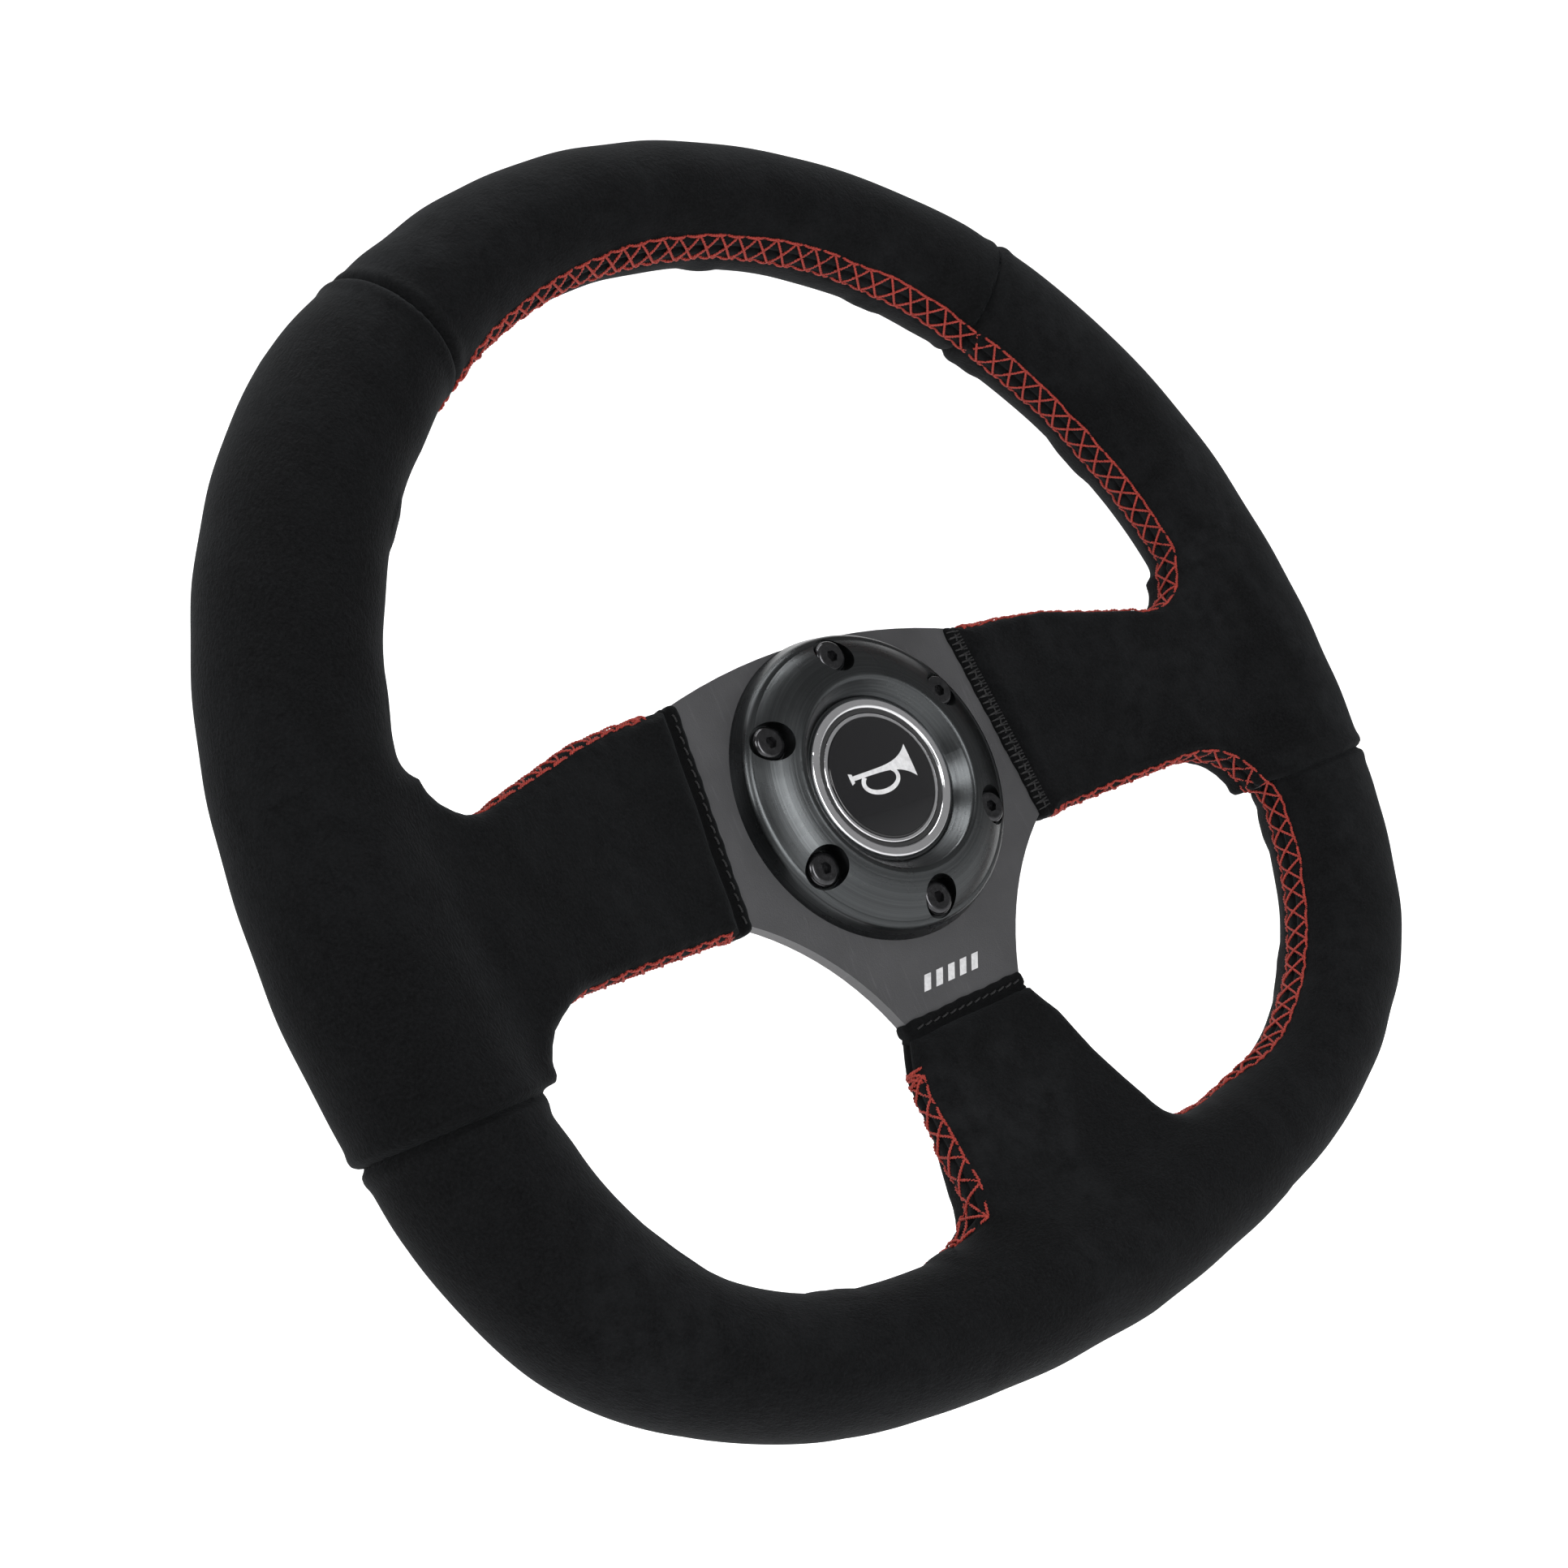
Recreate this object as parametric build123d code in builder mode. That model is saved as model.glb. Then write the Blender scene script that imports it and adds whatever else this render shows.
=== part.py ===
# Quick release steering wheel: D-shaped, three spokes, wrapped grip, horn button and ball-lock coupling.
# Millimetres. +X right, +Z up, +Y away from the driver. The origin lies on the steering axis, inside the
# coupling's pilot bore.
import os
from math import cos, radians, sin, tan

from build123d import *

os.makedirs("parts", exist_ok=True)

# ---- wheel plate -------------------------------------------------------------------------------------
PLATE_FRONT = -17.5        # Y of the plate's front face
PLATE_T = 4.0
BOLT_RADIUS = 35.0         # six bolts on a 70 mm circle
BOLT_ANGLES = (30, 90, 150, 210, 270, 330)
HORN_OPENING_R = 26.0

# ---- rim centreline: bottom, lower corner, side, then one arc over the top ------------------------------
RIM_BOTTOM_Z = -134.0
RIM_ARCS = ((365.0, 12.0), (95.0, 62.0), (218.0, 28.0))   # radius, sweep in degrees
RIM_Y = PLATE_FRONT - 14.5
GRIP_DEPTH = 16.0          # half thickness of the grip, fore and aft
GRIP_STATIONS = ((0, 17.5), (9, 16), (20, 15.2), (40, 16), (58, 18.3), (76, 20), (95, 20.2), (115, 20.5),
                 (134, 20.3), (150, 18), (164, 17), (180, 17.3))   # heading along the rim, half width of the grip
SUEDE_T = 1.2
HOOP_R = 6.0
UPPER_SEAM_DEG = 51.0      # seen from the centre of the top arc
LOWER_SEAM_Z = -42.0
SEAM_GAP = 0.4

# ---- spokes ----------------------------------------------------------------------------------------
WRAP_T = 10.0              # wrapped spoke, front to back
SIDE_BEND_X = 64.0
SIDE_RISE_X = 140.0
FOOT_BEND_Z = -68.0
FOOT_RISE_Z = -126.0
ARM_INSET = 3.0            # metal arm lies this far inside the wrap's outline

# ---- depths behind the plate's front face (negative is towards the driver) --------------------------------
RING_BASE_R, RING_WALL_R, RING_WALL_TOP = 43.0, 41.3, 4.9
RING_CREST_R, RING_CREST = 27.5, 11.0
RING_THROAT_R, RING_THROAT, RING_BORE_R = 23.0, 6.0, 22.55
RING_SHOULDER, RING_SHOULDER_R = 3.0, 20.6
COUNTERBORE_R, COUNTERBORE_FLOOR = 5.5, 5.0

HUB_R, HUB_FRONT, HUB_BACK = 41.0, 4.0, 11.0
BODY_R, SOCKET_R, SOCKET_FLOOR, SOCKET_MOUTH = 20.0, 16.0, 14.0, 31.0
PILOT_END, RELIEF_END, RELIEF_R = 20.5, 27.5, 16.4   # the bore is relieved where the balls reach through it
KEY_WIDTH, KEY_DEPTH, KEY_ANGLES = 5.0, 1.5, (90, 210, 330)
BALL_R, BALL_SEAT_R, BALL_CENTRE_R, BALL_DEPTH = 3.0, 3.05, 17.5, 24.0
COLLAR_FRONT, COLLAR_BACK, COLLAR_TAPER = 16.5, 29.0, 20.0
COLLAR_LAND_R, SPRING_POCKET_R, SPRING_POCKET_END = 20.06, 23.6, 21.0
RING_GROOVE_R, RETAINER_R, RETAINER_T = 19.0, 23.8, 1.0


def at(depth):
    """Y of a plane that lies this deep behind the plate's front face."""
    return PLATE_FRONT + depth


def plane_at(depth):
    """Plane facing the driver, with local x to the right and local y up."""
    return Plane.XZ.offset(-at(depth))


def turned(points):
    """Solid of revolution about the steering axis from (radius, depth) corners."""
    with BuildPart() as solid:
        with BuildSketch(Plane.XY):
            with BuildLine():
                Polyline(*[(r, at(d)) for r, d in points], close=True)
            make_face()
        revolve(axis=Axis.Y)
    return solid.part


def drilled(radius, from_depth, to_depth, spots):
    """Cylinders along Y at the given (x, z) spots, used as cutters."""
    with BuildPart() as cutter:
        with BuildSketch(plane_at(from_depth)):
            with Locations(*spots):
                Circle(radius)
        extrude(amount=from_depth - to_depth)
    return cutter.part


def on_circle(radius, angles):
    return [(radius * cos(radians(a)), radius * sin(radians(a))) for a in angles]


def split_ring(inner, outer, front, back, gap_angle, gap):
    """Flat retaining ring with one open gap."""
    with BuildPart() as ring:
        add(turned([(inner, front), (outer, front), (outer, back), (inner, back)]))
        with BuildSketch(plane_at(back)):
            with Locations(*on_circle((inner + outer) / 2, (gap_angle,))):
                Rectangle(gap, 3 * (outer - inner), rotation=gap_angle + 90)
        extrude(amount=back - front, mode=Mode.SUBTRACT)
    return ring.part


def coil(radius, wire, front, back, turns):
    """Coil spring about the steering axis; its wire just clears both seats."""
    start, length = front + wire + 0.02, back - front - 2 * wire - 0.04
    with BuildPart() as spring:
        with BuildLine() as path:
            Helix(pitch=length / turns, height=length, radius=radius, center=(0, at(start), 0), direction=(0, 1, 0))
        with BuildSketch(Plane(origin=path.line @ 0, z_dir=path.line % 0)):
            Circle(wire)
        sweep(path=path.line, is_frenet=True)
    return spring.part


# ---- rim centreline ----------------------------------------------------------------------------------
def rim_arcs():
    """Right half of the centreline as (centre x, centre z, radius, from heading, to heading)."""
    arcs, x, z, heading = [], 0.0, RIM_BOTTOM_Z, 0.0
    for radius, sweep_deg in RIM_ARCS:
        cx, cz = x - radius * sin(radians(heading)), z + radius * cos(radians(heading))
        arcs.append((cx, cz, radius, heading, heading + sweep_deg))
        heading += sweep_deg
        x, z = cx + radius * sin(radians(heading)), cz - radius * cos(radians(heading))
    last = x / sin(radians(heading))
    arcs.append((0.0, z + last * cos(radians(heading)), last, heading, 180.0))
    return arcs


def rim_point(heading):
    """Point of the centreline where the rim runs in this direction; headings past either end are mirrored."""
    if heading < 0 or heading > 180:
        x, z = rim_point(-heading if heading < 0 else 360 - heading)
        return -x, z
    for cx, cz, radius, first, end in rim_arcs():
        if heading <= end:
            return cx + radius * sin(radians(heading)), cz - radius * cos(radians(heading))


def rim_tube(inset):
    """The whole grip as a closed tube of oval sections, inset from the outer surface."""
    before = [(-h, w) for h, w in GRIP_STATIONS[2:0:-1]]
    after = [(360 - h, w) for h, w in GRIP_STATIONS[-2:-4:-1]]
    with BuildPart() as tube:
        for heading, half_width in before + list(GRIP_STATIONS) + after:
            x, z = rim_point(heading)
            h = radians(heading)
            with BuildSketch(Plane(origin=(x, RIM_Y, z), x_dir=(sin(h), 0, -cos(h)), z_dir=(cos(h), 0, sin(h)))):
                Ellipse(half_width - inset, GRIP_DEPTH - inset)
        loft()
        with Locations((0, RIM_Y, 0)):
            Box(400, 100, 500, align=(Align.MIN, Align.CENTER, Align.CENTER), mode=Mode.INTERSECT)
        mirror(about=Plane.YZ)
    return tube.part


# ---- spokes --------------------------------------------------------------------------------------------
def side_outline(inset):
    """Right wrapped spoke in the X-Z plane, from the hub to inside the rim."""
    with BuildSketch(plane_at(30)) as sketch:
        with BuildLine():
            ThreePointArc((52, 34.5), (84, 31.8), (110, 22.5))
            ThreePointArc((110, 22.5), (122.5, 20.9), (129.5, 31))
            Polyline((129.5, 31), (157, 31), (157, -44.5), (126, -44.5))
            JernArc((126, -44.5), (0, 1), 20, 90)
            Polyline((106, -24.5), (57, -24.5), (52, 34.5))
        make_face()
        if inset:
            offset(amount=-inset, kind=Kind.INTERSECTION, mode=Mode.REPLACE)
    return sketch.sketch


def foot_outline(inset):
    """Wrapped bottom spoke, from the hub to inside the rim."""
    with BuildSketch(plane_at(30)) as sketch:
        with BuildLine():
            Line((0, -65.5), (21.5, -65.5))
            ThreePointArc((21.5, -65.5), (26.2, -75.5), (28.5, -88))
            ThreePointArc((28.5, -88), (33.2, -106), (47.5, -117))
            Polyline((47.5, -117), (47.5, -137), (0, -137))
            mirror(about=Plane.YZ)
        make_face()
        if inset:
            offset(amount=-inset, kind=Kind.INTERSECTION, mode=Mode.REPLACE)
    return sketch.sketch


def side_leaf(thickness):
    """Sheet that is flat at the hub and climbs towards the driver at both sides."""
    flat, high, half = at(PLATE_T / 2), RIM_Y, thickness / 2
    with BuildPart() as leaf:
        with BuildSketch(Plane.XY.offset(-66)):
            with BuildLine():
                Polyline((0, flat - half), (SIDE_BEND_X, flat - half), (SIDE_RISE_X, high - half), (170, high - half),
                         (170, high + half), (SIDE_RISE_X, high + half), (SIDE_BEND_X, flat + half), (0, flat + half),
                         close=True)
            make_face()
            mirror(about=Plane.YZ)
        extrude(amount=126)
    return leaf.part


def foot_leaf(thickness):
    """Sheet that is flat at the hub and climbs towards the driver down the bottom spoke."""
    flat, high, half = at(PLATE_T / 2), RIM_Y, thickness / 2
    with BuildPart() as leaf:
        with BuildSketch(Plane.YZ.offset(-70)):
            with BuildLine():
                Polyline((flat - half, -40), (flat - half, FOOT_BEND_Z), (high - half, FOOT_RISE_Z), (high - half, -150),
                         (high + half, -150), (high + half, FOOT_RISE_Z), (flat + half, FOOT_BEND_Z), (flat + half, -40),
                         close=True)
            make_face()
        extrude(amount=140)
    return leaf.part


def wrapped_spokes(inset):
    """The three wrapped spokes as one solid each side of the hub, inset from the outer surface."""
    with BuildPart() as sides:
        add(side_outline(inset))
        extrude(amount=60, dir=(0, -1, 0))
        mirror(about=Plane.YZ)
        add(side_leaf(WRAP_T - 2 * inset), mode=Mode.INTERSECT)
    with BuildPart() as foot:
        add(foot_outline(inset))
        extrude(amount=60, dir=(0, -1, 0))
        add(foot_leaf(WRAP_T - 2 * inset), mode=Mode.INTERSECT)
    return sides.part, foot.part


def grip_solid(inset):
    """Rim and wrapped spokes together, inset from the outer surface."""
    sides, foot = wrapped_spokes(inset)
    with BuildPart() as grip:
        add(rim_tube(inset))
        add(sides)
        add(foot)
    return grip.part


# ---- metal frame -------------------------------------------------------------------------------------
with BuildPart() as rim_hoop:
    with BuildLine() as half_hoop:
        for cx, cz, radius, first, end in rim_arcs():
            start, middle, stop = [
                (cx + radius * sin(radians(h)), RIM_Y, cz - radius * cos(radians(h))) for h in (first, (first + end) / 2, end)
            ]
            ThreePointArc(start, middle, stop)
    with BuildSketch(Plane(origin=(0, RIM_Y, RIM_BOTTOM_Z), z_dir=(1, 0, 0))):
        Circle(HOOP_R)
    sweep(path=half_hoop.line)
    mirror(about=Plane.YZ)
rim_hoop.part.label = "rim_hoop"
export_step(rim_hoop.part, "parts/rim_hoop.step")

with BuildPart() as side_arms:
    with BuildSketch(plane_at(30)):
        with BuildLine():
            ThreePointArc((-52.5, 34.8), (0, 42.3), (52.5, 34.8))
            Line((52.5, 34.8), (57, -21.5))
            ThreePointArc((57, -21.5), (34.2, -40.5), (20.3, -64.5))
            Line((20.3, -64.5), (-20.3, -64.5))
            ThreePointArc((-20.3, -64.5), (-34.2, -40.5), (-57, -21.5))
            Line((-57, -21.5), (-52.5, 34.8))
        make_face()
        add(side_outline(ARM_INSET))
        add(side_outline(ARM_INSET).mirror(Plane.YZ))
        with BuildLine():
            Polyline((48, 31), (60, 29), (62, -21.5), (50, -21.5), close=True)
        make_face()
        with BuildLine():
            Polyline((-48, 31), (-60, 29), (-62, -21.5), (-50, -21.5), close=True)
        make_face()
    extrude(amount=60, dir=(0, -1, 0))
    add(side_leaf(PLATE_T), mode=Mode.INTERSECT)

with BuildPart() as spoke_plate:
    with BuildSketch(plane_at(30)):
        add(foot_outline(ARM_INSET))
        with BuildLine():
            Polyline((-18.5, -46), (18.5, -46), (18.5, -70), (-18.5, -70), close=True)
        make_face()
    extrude(amount=60, dir=(0, -1, 0))
    add(foot_leaf(PLATE_T), mode=Mode.INTERSECT)
    add(side_arms.part)
    add(drilled(HORN_OPENING_R, -1, PLATE_T + 1, [(0, 0)]), mode=Mode.SUBTRACT)
    add(drilled(2.75, -1, PLATE_T + 1, on_circle(BOLT_RADIUS, BOLT_ANGLES)), mode=Mode.SUBTRACT)
    add(rim_hoop.part, mode=Mode.SUBTRACT)
spoke_plate.part.label = "spoke_plate"
export_step(spoke_plate.part, "parts/spoke_plate.step")

# ---- foam and suede ------------------------------------------------------------------------------------
grip_outer = grip_solid(0)
grip_inner = grip_solid(SUEDE_T)

with BuildPart() as grip_foam:
    add(grip_inner)
    add(spoke_plate.part, mode=Mode.SUBTRACT)
    add(rim_hoop.part, mode=Mode.SUBTRACT)
grip_foam.part.label = "grip_foam"
export_step(grip_foam.part, "parts/grip_foam.step")

with BuildPart() as suede:
    add(grip_outer)
    add(grip_inner, mode=Mode.SUBTRACT)
    add(spoke_plate.part, mode=Mode.SUBTRACT)


def panel_region(name):
    """Block of space that one suede panel fills, half a seam gap short of its neighbours."""
    centre_z = rim_arcs()[3][1]
    reach, half = 260.0, SEAM_GAP / 2
    c, s = cos(radians(UPPER_SEAM_DEG)), sin(radians(UPPER_SEAM_DEG))
    low, high = LOWER_SEAM_Z, centre_z
    with BuildPart() as region:
        with BuildSketch(plane_at(60)):
            with BuildLine():
                if name == "top":
                    Polyline((0, high + half / c), (reach * c, high + half / c + reach * s), (0, 2 * reach),
                             (-reach * c, high + half / c + reach * s), close=True)
                elif name == "bottom":
                    Polyline((-reach, low - half), (reach, low - half), (reach, -reach), (-reach, -reach), close=True)
                else:
                    Polyline((0, low + half), (0, high - half / c), (reach * c, high - half / c + reach * s),
                             (reach, reach * s), (reach, low + half), close=True)
            make_face()
            if name == "left":
                mirror(about=Plane.YZ, mode=Mode.REPLACE)
        extrude(amount=160)
    return region.part


for name in ("top", "left", "right", "bottom"):
    with BuildPart() as panel:
        add(suede.part)
        add(panel_region(name), mode=Mode.INTERSECT)
    panel.part.label = f"suede_{name}"
    export_step(panel.part, f"parts/suede_{name}.step")

# ---- trim ring and its screws ---------------------------------------------------------------------------
with BuildPart() as trim_ring:
    with BuildSketch(Plane.XY):
        with BuildLine():
            Polyline((RING_SHOULDER_R, at(0)), (RING_BASE_R, at(0)), (RING_WALL_R + 0.4, at(-RING_WALL_TOP + 0.6)))
            ThreePointArc((RING_WALL_R + 0.4, at(-RING_WALL_TOP + 0.6)), (RING_WALL_R - 0.3, at(-RING_WALL_TOP - 0.5)),
                          (RING_WALL_R - 1.8, at(-RING_WALL_TOP - 1.2)))
            ThreePointArc((RING_WALL_R - 1.8, at(-RING_WALL_TOP - 1.2)), (34.5, at(-9.2)),
                          (RING_CREST_R + 1, at(-RING_CREST)))
            ThreePointArc((RING_CREST_R + 1, at(-RING_CREST)), (RING_CREST_R - 0.2, at(-RING_CREST - 0.1)),
                          (RING_CREST_R - 1.2, at(-RING_CREST + 0.6)))
            Polyline((RING_CREST_R - 1.2, at(-RING_CREST + 0.6)), (RING_THROAT_R, at(-RING_THROAT)),
                     (RING_BORE_R, at(-RING_THROAT)), (RING_BORE_R, at(-RING_SHOULDER)),
                     (RING_SHOULDER_R, at(-RING_SHOULDER)), (RING_SHOULDER_R, at(0)))
        make_face()
    revolve(axis=Axis.Y)
    add(drilled(COUNTERBORE_R, -15, -COUNTERBORE_FLOOR, on_circle(BOLT_RADIUS, BOLT_ANGLES)), mode=Mode.SUBTRACT)
    add(drilled(2.75, -15, 1, on_circle(BOLT_RADIUS, BOLT_ANGLES)), mode=Mode.SUBTRACT)
trim_ring.part.label = "trim_ring"
export_step(trim_ring.part, "parts/trim_ring.step")

with BuildPart() as ring_screws:
    with BuildSketch(plane_at(-COUNTERBORE_FLOOR)):
        with Locations(*on_circle(BOLT_RADIUS, BOLT_ANGLES)):
            Circle(4.75)
    extrude(amount=2.75)
    fillet(ring_screws.edges().group_by(Axis.Y)[0], 1.5)
    with BuildSketch(plane_at(-COUNTERBORE_FLOOR - 1.1)):
        with Locations(*on_circle(BOLT_RADIUS, BOLT_ANGLES)):
            RegularPolygon(1.5, 6, major_radius=False)
    extrude(amount=4, mode=Mode.SUBTRACT)
    with BuildSketch(plane_at(-COUNTERBORE_FLOOR)):
        with Locations(*on_circle(BOLT_RADIUS, BOLT_ANGLES)):
            Circle(2.5)
    extrude(amount=-(COUNTERBORE_FLOOR + 10.5))
ring_screws.part.label = "ring_screws"
export_step(ring_screws.part, "parts/ring_screws.step")

# ---- horn button -------------------------------------------------------------------------------------------
with BuildPart() as horn_bezel:
    add(turned([(19.45, -3.9), (22.5, -3.9), (22.5, -7.0), (19.45, -7.0)]))
    fillet(horn_bezel.edges().group_by(Axis.Y)[0], 0.9)
horn_bezel.part.label = "horn_bezel"
export_step(horn_bezel.part, "parts/horn_bezel.step")

with BuildPart() as horn_housing:
    add(turned([(18.35, -6.2), (19.4, -6.2), (19.4, -3.9), (22.5, -3.9), (22.5, -3.0), (20.5, -3.0), (20.5, 0.0),
                (19.7, 0.0), (19.7, 1.1), (20.5, 1.1), (20.5, 8.0), (18.9, 8.0), (18.9, -3.9), (18.35, -3.9)]))
horn_housing.part.label = "horn_housing"
export_step(horn_housing.part, "parts/horn_housing.step")

horn_clip = split_ring(19.7, 23.5, 0.05, 1.05, 90, 6)
horn_clip.label = "horn_clip"
export_step(horn_clip, "parts/horn_clip.step")

with BuildPart() as horn_cap:
    with BuildSketch(Plane.XY):
        with BuildLine():
            ThreePointArc((0, at(-7.9)), (9, at(-7.65)), (16.4, at(-6.9)))
            ThreePointArc((16.4, at(-6.9)), (17.0, at(-6.7)), (17.2, at(-6.3)))
            Polyline((17.2, at(-6.3)), (17.2, at(-5.0)), (18.25, at(-5.0)), (18.25, at(-3.8)), (18.8, at(-3.8)),
                     (18.8, at(-2.85)), (15.5, at(-2.85)), (15.5, at(-5.2)), (3.0, at(-5.2)), (3.0, at(-3.2)),
                     (0, at(-3.2)), (0, at(-7.9)))
        make_face()
    revolve(axis=Axis.Y)
horn_cap.part.label = "horn_cap"
export_step(horn_cap.part, "parts/horn_cap.step")

with BuildPart() as cap_ring:
    add(turned([(17.2, -5.0), (18.2, -5.0), (18.2, -6.4), (17.2, -6.4)]))
    fillet(cap_ring.edges().group_by(Axis.Y)[0].group_by(SortBy.LENGTH)[-1], 0.4)
cap_ring.part.label = "cap_ring"
export_step(cap_ring.part, "parts/cap_ring.step")

moving_contact = turned([(10, -2.85), (18.5, -2.85), (18.5, -2.35), (10, -2.35)])
moving_contact.label = "moving_contact"
export_step(moving_contact, "parts/moving_contact.step")

with BuildPart() as horn_base:
    add(turned([(0, 0.5), (18.9, 0.5), (18.9, 3.0), (0, 3.0)]))
    add(drilled(1.2, 0, 4, [(-13, 0), (13, 0)]), mode=Mode.SUBTRACT)
horn_base.part.label = "horn_base"
export_step(horn_base.part, "parts/horn_base.step")

with BuildPart() as fixed_contacts:
    with BuildSketch(plane_at(0.5)):
        with Locations((-13, 0), (13, 0)):
            Circle(2.5)
    extrude(amount=1.3)
    with BuildSketch(plane_at(0.5)):
        with Locations((-13, 0), (13, 0)):
            Circle(1.2)
    extrude(amount=-2.5)
fixed_contacts.part.label = "fixed_contacts"
export_step(fixed_contacts.part, "parts/fixed_contacts.step")

with BuildPart() as horn_terminals:
    with BuildSketch(plane_at(3.0)):
        with Locations((-11, 0), (11, 0)):
            Rectangle(8, 6.3)
    extrude(amount=-0.8)
    with BuildSketch(plane_at(3.8)):
        with Locations((-7.4, 0), (7.4, 0)):
            Rectangle(0.8, 6.3)
    extrude(amount=-6.2)
horn_terminals.part.label = "horn_terminals"
export_step(horn_terminals.part, "parts/horn_terminals.step")

horn_spring = coil(6.0, 0.4, -5.2, 0.5, 3)
horn_spring.label = "horn_spring"
export_step(horn_spring, "parts/horn_spring.step")

# ---- quick release coupling ----------------------------------------------------------------------------------
BALL_ANGLES = (0, 60, 120, 180, 240, 300)

with BuildPart() as coupling_hub:
    add(turned([(21.5, HUB_FRONT), (HUB_R - 0.6, HUB_FRONT), (HUB_R, HUB_FRONT + 0.6), (HUB_R, HUB_BACK - 0.8),
                (HUB_R - 0.8, HUB_BACK), (BODY_R, HUB_BACK), (BODY_R, 29.05), (RING_GROOVE_R, 29.05),
                (RING_GROOVE_R, 30.05), (BODY_R, 30.05), (BODY_R, SOCKET_MOUTH - 0.5), (BODY_R - 0.5, SOCKET_MOUTH),
                (SOCKET_R + 0.6, SOCKET_MOUTH), (SOCKET_R, SOCKET_MOUTH - 0.6), (SOCKET_R, RELIEF_END),
                (RELIEF_R, RELIEF_END), (RELIEF_R, PILOT_END), (SOCKET_R, PILOT_END), (SOCKET_R, SOCKET_FLOOR),
                (9, SOCKET_FLOOR), (9, 12), (15, 12), (15, 8.5), (21.5, 8.5)]))
    add(drilled(2.55, 3, 12, on_circle(BOLT_RADIUS, BOLT_ANGLES)), mode=Mode.SUBTRACT)
    for angle in KEY_ANGLES:
        with BuildSketch(plane_at(SOCKET_MOUTH)):
            with Locations(*on_circle(SOCKET_R + KEY_DEPTH - 2, (angle,))):
                Rectangle(4, KEY_WIDTH, rotation=angle)
        extrude(amount=SOCKET_MOUTH - SOCKET_FLOOR, mode=Mode.SUBTRACT)
    for x, z in on_circle(1, BALL_ANGLES):
        seat = (BALL_CENTRE_R * x, at(BALL_DEPTH), BALL_CENTRE_R * z)
        with Locations(seat):
            Sphere(BALL_SEAT_R, mode=Mode.SUBTRACT)
        with BuildSketch(Plane(origin=seat, z_dir=(x, 0, z))):
            Circle(BALL_SEAT_R)
        extrude(amount=4, mode=Mode.SUBTRACT)
coupling_hub.part.label = "coupling_hub"
export_step(coupling_hub.part, "parts/coupling_hub.step")

for number, (x, z) in enumerate(on_circle(BALL_CENTRE_R, BALL_ANGLES), 1):
    with BuildPart() as ball:
        with Locations((x, at(BALL_DEPTH), z)):
            Sphere(BALL_R)
    ball.part.label = f"lock_ball_{number}"
    export_step(ball.part, f"parts/lock_ball_{number}.step")

# The taper touches every ball; it starts where its radius meets the collar's running land.
taper = tan(radians(COLLAR_TAPER))
touch_r = BALL_CENTRE_R + (BALL_R + 0.03) * cos(radians(COLLAR_TAPER))
touch_depth = BALL_DEPTH - (BALL_R + 0.03) * sin(radians(COLLAR_TAPER))
taper_start = touch_depth - (touch_r - COLLAR_LAND_R) / taper
taper_end_r = COLLAR_LAND_R + (COLLAR_BACK - taper_start) * taper

with BuildPart() as release_collar:
    add(turned([(SPRING_POCKET_R, COLLAR_FRONT), (29.2, COLLAR_FRONT), (30, COLLAR_FRONT + 0.8),
                (30, COLLAR_FRONT + 3.2), (29.2, COLLAR_FRONT + 4), (27, COLLAR_FRONT + 5), (27, COLLAR_BACK - 1),
                (26, COLLAR_BACK), (taper_end_r, COLLAR_BACK), (COLLAR_LAND_R, taper_start),
                (COLLAR_LAND_R, SPRING_POCKET_END), (SPRING_POCKET_R, SPRING_POCKET_END)]))
    for step in range(18):
        with BuildSketch(plane_at(COLLAR_FRONT + 5)):
            with Locations(*on_circle(30.6, (step * 20,))):
                Circle(1.6)
        extrude(amount=5, mode=Mode.SUBTRACT)
release_collar.part.label = "release_collar"
export_step(release_collar.part, "parts/release_collar.step")

collar_spring = coil(21.8, 0.6, HUB_BACK, SPRING_POCKET_END, 3)
collar_spring.label = "collar_spring"
export_step(collar_spring, "parts/collar_spring.step")

retaining_ring = split_ring(RING_GROOVE_R, RETAINER_R, 29.05, 29.05 + RETAINER_T, 90, 7)
retaining_ring.label = "retaining_ring"
export_step(retaining_ring, "parts/retaining_ring.step")

contact_carrier = turned([(0, 10.5), (12, 10.5), (12, 12), (9, 12), (9, 14), (8.5, 14), (8.5, 13), (6.5, 13),
                          (6.5, 14), (3.5, 14), (3.5, 13), (1.5, 13), (1.5, 14), (0, 14)])
contact_carrier.label = "contact_carrier"
export_step(contact_carrier, "parts/contact_carrier.step")

with BuildPart() as contact_rings:
    add(turned([(1.5, 13), (3.5, 13), (3.5, SOCKET_FLOOR), (1.5, SOCKET_FLOOR)]))
    add(turned([(6.5, 13), (8.5, 13), (8.5, SOCKET_FLOOR), (6.5, SOCKET_FLOOR)]))
contact_rings.part.label = "contact_rings"
export_step(contact_rings.part, "parts/contact_rings.step")
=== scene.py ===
from math import radians

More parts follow.
